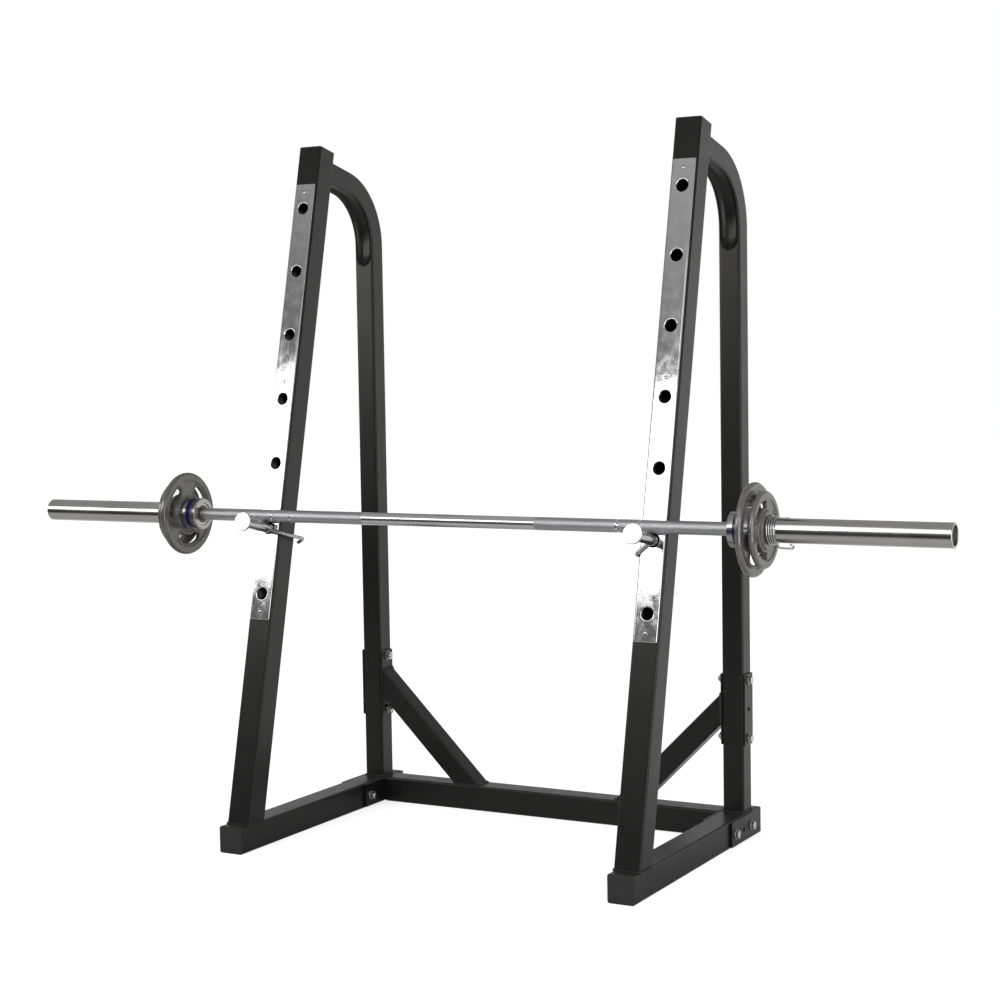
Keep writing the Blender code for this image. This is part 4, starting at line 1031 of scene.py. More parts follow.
def on_upright(sign):
    """The frame of an upright: on its front face, at the leg's top, Z along the tube."""
    return Matrix.Translation((sign * SIDE_X, FRONT_Y + UPRIGHT_SETBACK, LEG_SIZE)) @ LEANING_BACK


foot_rings = {}
for side, sign in SIDES:
    place = on_upright(sign)
    low, high, first = (place @ Vector((0.0, UPRIGHT_SIZE / 2, height))
                        for height in (0.0, UPRIGHT_LENGTH - CAP_FLANGE - GAP, FIRST_HOLE))
    rings = along_path([low, high], RIGHT, square(UPRIGHT_SIZE, TUBE_CORNER))
    rings[0] = slid(rings[0], UPRIGHT_UP, Vector((0.0, 0.0, LEG_SIZE + GAP)), UP)
    foot_rings[side] = rings[0]
    tube = drilled(walled(skinned("upright", rings)), first, UPRIGHT_UP * HOLE_PITCH, HOLE_COUNT,
                   HOLE_DIAMETER, SQUARE_TO_UPRIGHT, HOLE_SIDES)
    painted(side + "_upright_tube", tube, side + "_front_upright")
    top = place @ Matrix.Translation((0.0, UPRIGHT_SIZE / 2, UPRIGHT_LENGTH))
    cap(side + "_upright_end_cap", UPRIGHT_SIZE, top, side + "_top_cap")

# %% [markdown]
# ## Wear strips
#
# A chrome-plated strip is riveted to the front of each upright, where the bar and the catches
# rub. It is a flat plate with seven holes. Its long edges and the rims of its holes are rolled
# over to the front, and they are what catches the light beside the black tube. The rivet tree
# puts a domed head at three places.

# %% Wear strips
STRIP_WIDTH = 0.052
STRIP_THICKNESS = 0.003
STRIP_FOOT = 0.460
STRIP_LENGTH = 1.018
STRIP_TOP = STRIP_FOOT + STRIP_LENGTH
STRIP_CORNER = 0.0030
STRIP_EDGE = 0.0008
STRIP_ROLL = 0.0021
HOLE_ROLL = 0.0020
RIM_SIDES = 56
STRIP_FACE = GAP + STRIP_THICKNESS

for side, sign in SIDES:
    outline = rectangle(STRIP_WIDTH / 2, STRIP_FOOT, STRIP_TOP, STRIP_CORNER, 3)
    holes = [circle((0.0, FIRST_HOLE + index * HOLE_PITCH), HOLE_DIAMETER / 2 + STRIP_EDGE / 4,
                    RIM_SIDES, -1) for index in range(HOLE_COUNT)]
    strip = plate("strip", [outline] + holes, STRIP_THICKNESS, STRIP_EDGE, 4,
                  [STRIP_ROLL] + [HOLE_ROLL] * HOLE_COUNT)
    stand = (on_upright(sign) @ Matrix.Translation((0.0, -GAP - STRIP_THICKNESS / 2, 0.0))
             @ FACING_FRONT)
    piece(side + "_strip", moved(strip, stand), STRIP_CHROME, "rack", "chrome",
          side + "_wear_strip")

# %% Rivets
RIVET_RADIUS = 0.00425
RIVET_RISE = 0.0016
RIVET_SINK = 0.0002
RIVET_INSET = 0.0185
RIVET_MIDDLE = 1.009
RIVET_PLACES = (STRIP_FOOT + RIVET_INSET, RIVET_MIDDLE, STRIP_TOP - RIVET_INSET)

dome = [(RIVET_RADIUS * math.sin(angle), RIVET_RISE * math.cos(angle))
        for angle in (math.pi / 2 * step / 6 for step in range(7))]
rivet = turned("rivet", dome + [(RIVET_RADIUS, -RIVET_SINK), (0.0, -RIVET_SINK)], 24)
rivet_marks = [(on_upright(sign) @ Vector((0.0, -STRIP_FACE, height)), SQUARE_TO_UPRIGHT)
               for _, sign in SIDES for height in RIVET_PLACES]
rivets = placed("strip_rivets", rivet, rivet_marks, BRIGHT_CHROME)
piece("strip_rivets", rivets, BRIGHT_CHROME, "rack", "chrome")

# %% [markdown]
# ## Bent rear posts
#
# Each rear post is 50 mm square tube, bent at the top on a press. A ram pushes on the inside of
# the bend and crushes the wall there into a groove, which ends below the bend in the shape of a
# spoon. The skin has many outlines there, and the points of the inner face are moved in by a
# formula before the wall is made, so that the crush is real and not only painted.

# %% Rear posts
BEND_RADIUS = 0.150
BEND_STEPS = 32
BELOW_BEND_STEPS = 19
BELOW_BEND_STEP = 0.004
JOINT_DROP = 0.0465
CRUSH_DEPTH = 0.0120
CRUSH_HALF_WIDTH = 0.0225
CRUSH_END_Z = 1.322
CRUSH_RUNOUT = 0.030
CRUSH_NARROWEST = 0.3
ON_FACE = 0.0001
FACE_STEPS = 24


def post_path(sign):
    """Centre line of a rear post, from the front upright down to the leg."""
    height = UPRIGHT_LENGTH - JOINT_DROP
    start = Vector((FRONT_Y + UPRIGHT_SETBACK, LEG_SIZE)) + Vector((
        height * math.sin(LEAN) + UPRIGHT_SIZE * math.cos(LEAN),
        height * math.cos(LEAN) - UPRIGHT_SIZE * math.sin(LEAN)))
    forward = Vector((math.cos(LEAN), -math.sin(LEAN)))
    sweep = math.pi / 2 - LEAN
    corner = start + forward * ((REAR_Y - start.x) / forward.x)
    centre = Vector((REAR_Y - BEND_RADIUS, corner.y - BEND_RADIUS * math.tan(sweep / 2)))
    points = [start + forward * GAP]
    for step in range(BEND_STEPS + 1):
        angle = sweep * (1 - step / BEND_STEPS)
        points.append(centre + BEND_RADIUS * Vector((math.cos(angle), math.sin(angle))))
    bend_end = points[-1].y
    points += [Vector((REAR_Y, bend_end - BELOW_BEND_STEP * step))
               for step in range(1, BELOW_BEND_STEPS + 1)]
    points.append(Vector((REAR_Y, LEG_SIZE + GAP)))
    return [Vector((sign * SIDE_X, point.x, point.y)) for point in points]


def crushed(section, point):
    """The tube's section with its inner face pushed in, as deep as the ram went at this point."""
    run = min(1.0, max(0.0, (point.z - CRUSH_END_Z) / CRUSH_RUNOUT))
    share = math.sqrt(1 - (1 - run) ** 2)
    width = CRUSH_HALF_WIDTH * max(CRUSH_NARROWEST, share)
    result = []
    for spot in section:
        across = 1 - abs(spot.x / width) ** 3
        inside = spot.y > POST_SIZE / 2 - ON_FACE and across > 0
        dent = CRUSH_DEPTH * share * across if inside else 0.0
        result.append(Vector((spot.x, spot.y - dent)))
    return result


def fine_square(size, corner):
    """A rounded square with extra points along its faces, so that they can be shaped."""
    base = square(size, corner, 4)
    result = []
    for index, point in enumerate(base):
        after = base[(index + 1) % len(base)]
        count = FACE_STEPS if (after - point).length > size / 2 else 1
        result += [point.lerp(after, step / count) for step in range(count)]
    return result


post_section = fine_square(POST_SIZE, TUBE_CORNER)
brace_lower = middle_of("right_brace_lower_bolt")
brace_upper = middle_of("right_brace_upper_bolt")
BOLT_RISE = brace_upper.z - brace_lower.z
for side, sign in SIDES:
    post = walled(skinned("post", along_path(post_path(sign), RIGHT, post_section, crushed)))
    post = drilled(post, (sign * SIDE_X, REAR_Y, brace_lower.z), (0.0, 0.0, BOLT_RISE), 2)
    painted(side + "_rear_post", post, side + "_rear_upright")

# %% [markdown]
# ## Crossbeam and braces
#
# The crossbeam lies on the floor between the two legs. A brace rises at 45 degrees from it to
# a plate on each rear post. Both ends of a brace are mitred, so both end outlines slide along
# the brace into the planes of the pieces that they meet.

# %% Crossbeam and braces
beam_low, beam_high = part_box("rear_crossbeam")
BEAM_SIZE = beam_high.z - beam_low.z
BRACE_SIZE = 0.050
BRACE_ANGLE = math.radians(45.0)
JOINT_Z = (brace_lower.z + brace_upper.z) / 2

beam_path = [Vector((x, REAR_Y, BEAM_SIZE / 2)) for x in (beam_low.x, beam_high.x)]
beam = walled(skinned("beam", along_path(beam_path, BACK, square(BEAM_SIZE, TUBE_CORNER))))
painted("crossbeam_tube", beam, "rear_crossbeam")

brace_ends = {}
for side, sign in SIDES:
    plate_low, plate_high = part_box(side + "_brace_inner_plate")
    wall_x = plate_low.x if sign > 0 else plate_high.x
    slope = Vector((sign * math.cos(BRACE_ANGLE), 0.0, math.sin(BRACE_ANGLE)))
    high = Vector((wall_x, REAR_Y, JOINT_Z))
    low = high - slope * ((JOINT_Z - BEAM_SIZE) / slope.z)
    rings = along_path([low, high], BACK * sign, square(BRACE_SIZE, TUBE_CORNER))
    rings[0] = slid(rings[0], slope, Vector((0.0, 0.0, BEAM_SIZE + GAP)), UP)
    rings[1] = slid(rings[1], slope, Vector((wall_x - sign * GAP, 0.0, 0.0)), RIGHT)
    brace_ends[side] = rings
    painted(side + "_brace_tube", walled(skinned("brace", rings)), side + "_brace")

# %% [markdown]
# ## Brackets and brace plates
#
# A steel plate is bent round the rear end of each leg, and the crossbeam is welded to its inner
# side. Two smaller plates clamp each rear post where the brace meets it. All of them are cut
# from plate, so each is one drawing with a thickness and slightly rounded edges, and the drilling
# tree makes the holes, a spare one too.

# %% End brackets
BRACKET_PLATE = 0.005
BRACKET_BEND = 0.003
BRACKET_EDGE = 0.0009
SPARE_HOLE_INSET = 0.070
OUTSIDE_BEND = BRACKET_BEND + BRACKET_PLATE

for side, sign in SIDES:
    low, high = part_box(side + "_end_bracket")
    outer = LEG_SIZE / 2 + GAP + BRACKET_PLATE
    inner = outer - BRACKET_PLATE
    front, back, lining = low.y, high.y, high.y - BRACKET_PLATE
    outline = rounded([
        (outer, front, 0.0), (outer, back, OUTSIDE_BEND), (-outer, back, OUTSIDE_BEND),
        (-outer, front, 0.0), (-inner, front, 0.0), (-inner, lining, BRACKET_BEND),
        (inner, lining, BRACKET_BEND), (inner, front, 0.0)], BRACKET_BEND, 6)
    bracket = plate("bracket", [outline], high.z - low.z, BRACKET_EDGE)
    bracket = moved(bracket, Matrix.Translation((sign * SIDE_X, 0.0, (low.z + high.z) / 2)))
    for y in (leg_bolt_front.y, leg_bolt_rear.y, front + SPARE_HOLE_INSET):
        bracket = drilled(bracket, (sign * SIDE_X, y, BOLT_Z), (0.0, 0.0, 0.0), 1)
    painted(side + "_leg_bracket", bracket, side + "_end_bracket")

# %% Brace plates
BRACE_PLATE_CORNER = 0.004
BRACE_PLATE_EDGE = 0.0008
STAND_UP = Euler((math.pi / 2, 0.0, math.pi / 2)).to_matrix().to_4x4()

for side, _ in SIDES:
    for label, count in (("inner", 2), ("outer", 3)):
        name = side + "_brace_" + label
        low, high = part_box(name + "_plate")
        half_z = (high.z - low.z) / 2
        outline = rectangle((high.y - low.y) / 2, -half_z, half_z, BRACE_PLATE_CORNER, 4)
        clamp = plate("clamp", [outline], high.x - low.x, BRACE_PLATE_EDGE)
        clamp = moved(clamp, Matrix.Translation((low + high) / 2) @ STAND_UP)
        clamp = drilled(clamp, ((low.x + high.x) / 2, REAR_Y, brace_lower.z),
                        (0.0, 0.0, BOLT_RISE / (count - 1)), count)
        painted(name + "_clamp", clamp, name + "_plate")

# %% [markdown]
# ## Bolts and nuts
#
# The bolts are M10, with a chamfered hexagon head on a washer. A hexagon's chamfer is where a
# cone cuts the prism, so the head is kept only where it lies inside a turned barrel. The tree
# sets one bolt outside each joint, and a nut with the bolt's end inside. The marks come from the
# places of the solid bolts.

# %% Bolts and nuts
BOLT_RADIUS = 0.005
ACROSS_FLATS = 0.017
HEAD_HEIGHT = 0.0064
NUT_HEIGHT = 0.0080
CHAMFER_START = 0.985
WASHER_RADIUS = 0.0105
WASHER = 0.002
WASHER_EDGE = 0.0004
BOLT_TAIL = 0.004
THREAD_PITCH = 0.0015
THREAD_LENGTH = 0.0205
THREAD_SIDES = 32
TIP_CHAMFER = 0.0010
SHANK_LAP = 0.001
SHANK_END = 0.020
BARREL_ROOM = 1.04
DRILL_REACH = 0.1


def hexagon(low, high, chamfers):
    """A hexagon prism whose corners a cone has taken off at one or both ends."""
    corner = ACROSS_FLATS / math.sqrt(3.0)
    drawing = circle((0.0, 0.0), corner, 6)
    prism = skinned("prism", [raised(drawing, height) for height in (low, high)], capped=True)
    rim = ACROSS_FLATS / 2 * CHAMFER_START
    wide = corner * BARREL_ROOM
    fall = (wide - rim) * math.tan(math.radians(30.0))
    high_end = [(0.0, high), (rim, high), (wide, high - fall)]
    low_end = [(wide, low + fall), (rim, low)] if chamfers == 2 else [(wide, low)]
    barrel = turned("barrel", high_end + low_end + [(0.0, low)], 48)
    return carved(prism, barrel, "INTERSECT")


def washer_mesh():
    """A washer on Z = 0 with rounded edges."""
    bore = BOLT_RADIUS + GAP
    profile = rounded([(bore, WASHER), (WASHER_RADIUS, WASHER), (WASHER_RADIUS, 0.0), (bore, 0.0)],
                      WASHER_EDGE, 3)
    return turned("washer", profile, 40, ring=True)


def threaded_end(top, length):
    """The end of a bolt with the crests of its thread, as turned rings."""
    height = top - TIP_CHAMFER
    profile = [(0.0, top), (BOLT_RADIUS - 0.0012, top), (BOLT_RADIUS - 0.0002, height)]
    while height - THREAD_PITCH > top - length:
        profile += [(BOLT_RADIUS - 0.0009, height - THREAD_PITCH / 2),
                    (BOLT_RADIUS - 0.0001, height - THREAD_PITCH)]
        height -= THREAD_PITCH
    return turned("thread", profile + [(BOLT_RADIUS - 0.0002, top - length), (0.0, top - length)],
                  THREAD_SIDES)


def bolt_mesh(seat_to_seat):
    """A bolt on Z = 0 with its washer: head above, shank below."""
    head = hexagon(WASHER, WASHER + HEAD_HEIGHT, 1)
    length = seat_to_seat + WASHER + NUT_HEIGHT + BOLT_TAIL
    start, stop = WASHER + SHANK_LAP, -length + SHANK_END
    plain = turned("shank", [(0.0, start), (BOLT_RADIUS, start), (BOLT_RADIUS, stop), (0.0, stop)],
                   THREAD_SIDES)
    tip = moved(threaded_end(length, THREAD_LENGTH), Matrix.Rotation(math.pi, 4, "X"))
    return joined("bolt", [head, washer_mesh(), plain, tip])


def nut_mesh():
    """A nut on Z = 0 with its washer."""
    body = hexagon(WASHER, WASHER + NUT_HEIGHT, 2)
    bore = BOLT_RADIUS + GAP
    drill = turned("bore", [(0.0, DRILL_REACH), (bore, DRILL_REACH), (bore, -DRILL_REACH),
                            (0.0, -DRILL_REACH)], THREAD_SIDES)
    return joined("nut", [carved(body, drill, "DIFFERENCE"), washer_mesh()])


def seats(labels):
    """The outer and inner seats of each joint's bolts, with the turns that face outwards."""
    outside = []
    inside = []
    for side, sign in SIDES:
        for label in labels:
            low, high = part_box(side + "_" + label + "_bolt")
            outer_x = high.x if sign > 0 else low.x
            seat = outer_x - sign * (WASHER + HEAD_HEIGHT)
            y, z = (low.y + high.y) / 2, (low.z + high.z) / 2
            outside.append(((seat, y, z), (0.0, sign * math.pi / 2, 0.0)))
            inside.append(((2 * sign * SIDE_X - seat, y, z), (0.0, -sign * math.pi / 2, 0.0)))
    return outside, inside


nut_marks = []
for joint, labels in (("leg", BOLT_LABELS[:2]), ("brace", BOLT_LABELS[2:])):
    outside, inside = seats(labels)
    grip = 2 * (abs(outside[0][0][0]) - SIDE_X)
    names = [side + "_" + label + "_bolt" for side, _ in SIDES for label in labels]
    bolts = placed(joint + "_bolts", bolt_mesh(grip), outside, ZINC_PLATE)
    piece(joint + "_bolts", bolts, ZINC_PLATE, "rack", "zinc", *names)
    nut_marks += [mark for mark, name in zip(inside, names) if "leg_rear" not in name]
nut_names = [side + "_" + label + "_nut" for side, _ in SIDES for label in BOLT_LABELS
             if label != "leg_rear"]
nuts = placed("frame_nuts", nut_mesh(), nut_marks, ZINC_PLATE)
piece("frame_nuts", nuts, ZINC_PLATE, "rack", "zinc", *nut_names)

# %% [markdown]
# ## Weld beads
#
# Beads join the tubes: round the foot of each upright, round the feet and the tops of the rear
# posts, and round both ends of the braces. They were painted with the frame. A bead follows the
# end outline of its tube, so it needs no new drawing. At the front of each upright's foot the
# welder stopped short and left a small notch.

# %% Weld beads
BEAD_RADIUS = 0.0030
NOTCH = 0.009


def opened_at_front(ring, notch):
    """An outline as an open row that starts and ends beside the middle of its front."""
    middle_x = sum(point.x for point in ring) / len(ring)
    front = min(range(len(ring)), key=lambda index: (ring[index].y, ring[index].x))
    row = ring[front:] + ring[:front]
    first, last = row[0], row[-1]
    way = 1 if first.x > middle_x else -1
    row[0:0] = [Vector((middle_x + way * notch / 2, first.y, first.z))]
    row.append(Vector((middle_x - way * notch / 2, first.y, first.z)))
    return row


post_square = square(POST_SIZE, TUBE_CORNER)
beads = []
for number, (side, sign) in enumerate(SIDES):
    front_opened = opened_at_front(foot_rings[side], NOTCH)
    beads.append(bead(front_opened, BEAD_RADIUS, 3 + number, closed=False))
    post_foot = [Vector((sign * SIDE_X + spot.x, REAR_Y + spot.y, LEG_SIZE + GAP))
                 for spot in post_square]
    post_top = along_path(post_path(sign)[:2], RIGHT, post_square)[0]
    for place, ring in enumerate((post_foot, post_top, *brace_ends[side])):
        beads.append(bead(ring, BEAD_RADIUS, 13 + 10 * place + number))
painted("frame_welds", joined("frame_welds", beads))

# %% [markdown]
# ## Bar catches
#
# A catch is a 24 mm chrome pin with a disc on its end that keeps the bar from rolling off. A
# bent rod welded beside it hooks behind the upright and locks it. The pin is a turned profile
# with fillets. The rod is a wire with true arcs at its bends, and its weld is a bead of bright
# metal round its root.

# %% Catches
PIN_RADIUS = 0.012
PIN_SIDES = 72
PIN_TAIL = 0.012
DISC_RADIUS = 0.02125
DISC_THICKNESS = 0.005
DISC_REACH = 0.1015
GROOVE_DEPTH = 0.0006
CATCH_HEIGHT = FIRST_HOLE + HOLE_PITCH
CATCH_SEAT = STRIP_FACE + GAP
ROD_RADIUS = 0.004
ROD_SIDES = 6
ROD_REACH = 0.046
ROD_BEND = 0.010
ROD_BEHIND = 0.078
HOOK_LENGTH = 0.020
HOOK_ANGLE = math.radians(45.0)
ROD_TILTS = {"left": math.radians(15.6), "right": math.radians(41.0)}
ROD_WELD = 0.0015


def arc(centre, first, final, steps=10):
    """Points from one arm of a circle to another, a quarter turn away."""
    return [centre + first * math.cos(angle) + final * math.sin(angle)
            for angle in (math.pi / 2 * step / steps for step in range(steps + 1))]


def rod_points():
    """Centre line of a lock rod about the pin's axis: out, back past the upright, and the hook."""
    front = CATCH_SEAT + ROD_RADIUS
    hook = Vector((-math.cos(HOOK_ANGLE), -math.sin(HOOK_ANGLE), 0.0))
    points = [RIGHT * (PIN_RADIUS - 0.001) + UP * front]
    points += arc(RIGHT * (ROD_REACH - ROD_BEND) + UP * (front - ROD_BEND),
                  UP * ROD_BEND, RIGHT * ROD_BEND)
    corner = RIGHT * ROD_REACH - UP * ROD_BEHIND
    points += arc(corner + (UP + hook) * ROD_BEND, -hook * ROD_BEND, -UP * ROD_BEND)
    points.append(corner + hook * HOOK_LENGTH)
    return points


def pin_profile():
    """Half section of the pin: disc, fillet, shaft, the groove of the rod's weld, tail."""
    top, tail = DISC_REACH + DISC_THICKNESS, -UPRIGHT_SIZE - PIN_TAIL
    groove = PIN_RADIUS - GROOVE_DEPTH
    return rounded([
        (0.0, top, 0.0), (DISC_RADIUS, top, 0.0012), (DISC_RADIUS, DISC_REACH, 0.0010),
        (PIN_RADIUS + 0.0016, DISC_REACH, 0.0), (PIN_RADIUS, DISC_REACH - 0.0022, 0.0008),
        (PIN_RADIUS, CATCH_SEAT + 0.0135, 0.0004), (groove, CATCH_SEAT + 0.0125, 0.0003),
        (groove, CATCH_SEAT + 0.0115, 0.0003), (PIN_RADIUS, CATCH_SEAT + 0.0105, 0.0004),
        (PIN_RADIUS, tail, 0.0014), (0.0, tail, 0.0)], 0.001, 4, closed=False)


for side, sign in SIDES:
    axis = on_upright(sign) @ Matrix.Translation((0.0, 0.0, CATCH_HEIGHT)) @ FACING_FRONT
    pin = moved(turned("pin", pin_profile(), PIN_SIDES), axis)
    piece(side + "_pin", pin, BRIGHT_CHROME, side + "_catch", "chrome", side + "_catch_pin")
    tilt = Matrix.Rotation(sign * ROD_TILTS[side], 4, "Z")
    line = [Vector((-sign * point.x, point.y, point.z)) for point in rod_points()]
    rod = wire("rod", line, ROD_RADIUS, ROD_SIDES)
    root = Vector((-sign * (PIN_RADIUS + 0.0006), 0.0, CATCH_SEAT + ROD_RADIUS))
    collar = [root + Vector((0.0, *spot)) for spot in circle((0.0, 0.0), ROD_RADIUS - 0.0002, 24)]
    fused = joined("rod", [rod, bead(collar, ROD_WELD, 5, True, BRIGHT_CHROME)])
    piece(side + "_rod", moved(fused, axis @ tilt), BRIGHT_CHROME, side + "_catch_lever", "chrome",
          side + "_catch_rod")

# %% [markdown]
# ## The bar
#
# The shaft is one solid of 28 mm bar with narrow ring marks that show where to hold it. Each
# end carries a sleeve that turns on two bushings, a collar with a blue ring let into it, and a
# black end plug. They are all turned parts, so each is one profile. The chrome ones have 96
# sides, which keeps a cylinder's long highlight straight. The bushings and the retaining rings
# keep their solids and only get a finish.

# %% Shaft
ROUND = 96
RING_MARK_DEPTH = 0.0008
RING_MARK_EDGE = 0.0020
RETAINING_GROOVE = 0.0015
SLEEVE_RADIUS = 0.025
SLEEVE_BORE = 0.020
shaft_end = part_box("bar_shaft")[1].x
ring_low, ring_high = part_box("right_retaining_ring")


def on_bar(sign):
    """Turn a piece made about Z so that it points along the bar, to the left or the right."""
    return Matrix.Translation((0.0, BAR_Y, BAR_Z)) @ Matrix.Rotation(sign * math.pi / 2, 4, "Y")


def turned_on_bar(profile, sign, ring=True, sides=ROUND):
    """A turned part in its place on the bar."""
    return moved(turned("turned", profile, sides, ring), on_bar(sign))


def reach_of(name):
    """How far from the rack's middle a solid of the bar begins and ends."""
    low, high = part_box(name)
    return sorted((abs(low.x), abs(high.x)))


def shaft_half():
    """Profile of one half of the shaft, from its end to its middle."""
    radius = SHAFT_DIAMETER / 2
    groove, mark_floor = radius - RETAINING_GROOVE, radius - RING_MARK_DEPTH
    points = [(0.0, shaft_end, 0.0), (radius, shaft_end, 0.0008), (radius, ring_high.x + GAP, 0.0),
              (groove, ring_high.x + GAP, 0.0), (groove, ring_low.x - GAP, 0.0),
              (radius, ring_low.x - GAP, 0.0)]
    for mark in reversed(RING_MARKS):
        far, near = mark + RING_MARK_WIDTH / 2, mark - RING_MARK_WIDTH / 2
        points += [(radius, far, 0.0005), (mark_floor, far - RING_MARK_EDGE, 0.0008),
                   (mark_floor, near + RING_MARK_EDGE, 0.0008), (radius, near, 0.0005)]
    points.append((radius, 0.0, 0.0))
    return rounded(points, 0.0, 3, closed=False)


right_half = shaft_half()
shaft_profile = right_half + [Vector((point.x, -point.y)) for point in reversed(right_half[:-1])]
piece("shaft", turned_on_bar(shaft_profile, 1, ring=False), KNURLED_STEEL, "barbell", "satin_steel",
      "bar_shaft")

# %% Sleeves, collars, rings and plugs
COLLAR_RADIUS = 0.0365
COLLAR_BORE = SLEEVE_RADIUS + GAP
COLLAR_EDGE = 0.0030
BAND_DEPTH = 0.0015
BAND_SINK = 0.0002
PLUG_SIDES = 72

for side, sign in SIDES:
    near, far = reach_of(side + "_sleeve")
    sleeve = rounded([(SLEEVE_BORE, far, 0.0008), (SLEEVE_RADIUS, far, 0.0016),
                      (SLEEVE_RADIUS, near, 0.0004), (SLEEVE_BORE, near, 0.0004)], 0.001, 4)
    near, far = reach_of(side + "_sleeve_collar")
    band_near, band_far = reach_of(side + "_collar_band")
    groove, groove_far, groove_near = COLLAR_RADIUS - BAND_DEPTH, band_far + GAP, band_near - GAP
    collar = rounded([
        (COLLAR_BORE, far, 0.0006), (COLLAR_RADIUS, far, COLLAR_EDGE),
        (COLLAR_RADIUS, groove_far, 0.0005), (groove, groove_far, 0.0002),
        (groove, groove_near, 0.0002), (COLLAR_RADIUS, groove_near, 0.0005),
        (COLLAR_RADIUS, near, COLLAR_EDGE), (COLLAR_BORE, near, 0.0006)], 0.001, 5)
    sunk = COLLAR_RADIUS - BAND_SINK
    band = rounded([(groove + GAP, band_far, 0.0002), (sunk, band_far, 0.0006),
                    (sunk, band_near, 0.0006), (groove + GAP, band_near, 0.0002)], 0.001, 4)
    near, far = reach_of(side + "_end_plug")
    wide = SLEEVE_BORE - GAP
    plug = rounded([
        (0.0, far - 0.0026, 0.0), (0.0045, far - 0.0026, 0.0004), (0.0055, far - 0.0008, 0.0006),
        (0.0125, far - 0.0008, 0.0006), (0.0140, far, 0.0006), (wide, far, 0.0010),
        (wide, near, 0.0005), (0.0, near, 0.0)], 0.001, 4, closed=False)
    for name, profile, shape, material, slot, solid in (
            ("sleeve_tube", sleeve, (True,), TURNED_CHROME, "chrome", "sleeve"),
            ("collar", collar, (True,), COLLAR_STEEL, "chrome", "sleeve_collar"),
            ("collar_ring", band, (True,), BLUE_RING, "blue", "collar_band"),
            ("sleeve_plug", plug, (False, PLUG_SIDES), MOULDED_PLASTIC, "black_plastic",
             "end_plug")):
        piece(side + "_" + name, turned_on_bar(profile, sign, *shape), material,
              side + "_turning_sleeve", slot, side + "_" + solid)

# %% Bushings and retaining rings keep their solids
for side, _ in SIDES:
    for label, material in (("inner_bushing", BRONZE), ("outer_bushing", BRONZE),
                            ("retaining_ring", ZINC_PLATE)):
        solid = frame["nodes"][side + "_" + label]
        solid.data.materials.clear()
        solid.data.materials.append(material)
print("bushings and retaining rings refinished")

# %% [markdown]
# ## Weight plates
#
# The plates are sand cast. A broad round rim and a thicker hub stand above a web, and three grips
# are cut through the web, each with a rolled lip that is kind to the fingers. The disc is turned
# from one profile. Each grip is cut out of it, and its lip is a ring with a flattened section,
# swept round the opening.

# %% Weight plates
PLATE_SIDES = 144
PLATE_PLAY = 0.0004
RECESS = 0.0028
WEB_SLOPE = 0.0030
LIP_WIDTH = 0.0052
LIP_RISE = 0.0018
GRIP_SPAN = math.radians(50.0)


def around(centre, radius, angles):
    """Points round a centre, one at each angle."""
    return [centre + radius * Vector((math.cos(angle), math.sin(angle))) for angle in angles]


def grip_drawing(radius, width, steps=14):
    """Outline of a grip: a slot that follows the plate's round, centred on +X."""
    half, end, middle = width / 2, GRIP_SPAN / 2, Vector((0.0, 0.0))
    angles = [GRIP_SPAN * (step / steps - 0.5) for step in range(steps + 1)]
    turns = [math.pi * step / steps for step in range(1, steps)]
    far_centre, near_centre = around(middle, radius, (end, -end))
    return (around(middle, radius + half, angles)
            + around(far_centre, half, [end + turn for turn in turns])
            + around(middle, radius - half, reversed(angles))
            + around(near_centre, half, [-end + math.pi + turn for turn in turns]))


def lip_mesh(drawing, width, height):
    """A rolled lip: a ring with a flattened round section, swept round a drawing."""
    straight = (height - width) / 2
    section = [(width / 2 * math.cos(turn), end + width / 2 * math.sin(turn))
               for end, start in ((straight, 0.0), (-straight, math.pi))
               for turn in (start + math.pi * step / 8 for step in range(9))]
    rows = [raised(inset(drawing, across), up) for across, up in section]
    return cleaned(skinned("lip", rows + rows[:1]))


def plate_profile(diameter, thickness, hub, rim_width, rim_thickness, rim_start):
    """Closed section of a plate above its inner face: bore, hub, web, rim and back again."""
    bore, outer, hub = SLEEVE_RADIUS + PLATE_PLAY, diameter / 2, hub / 2
    rim_end = rim_start + rim_thickness
    high_web, low_web = rim_end - RECESS, rim_start + RECESS
    foot, web_end, web_start = outer - rim_width, outer - rim_width - WEB_SLOPE, hub + WEB_SLOPE
    nose = rim_thickness * 0.48
    return rounded([
        (bore, thickness, 0.0012), (hub, thickness, 0.0022), (web_start, high_web, 0.0020),
        (web_end, high_web, 0.0022), (foot, rim_end, 0.0035), (outer, rim_end, nose),
        (outer, rim_start, nose), (foot, rim_start, 0.0035), (web_end, low_web, 0.0022),
        (web_start, low_web, 0.0012), (hub, 0.0, 0.0012), (bore, 0.0, 0.0012)], 0.001, 6)


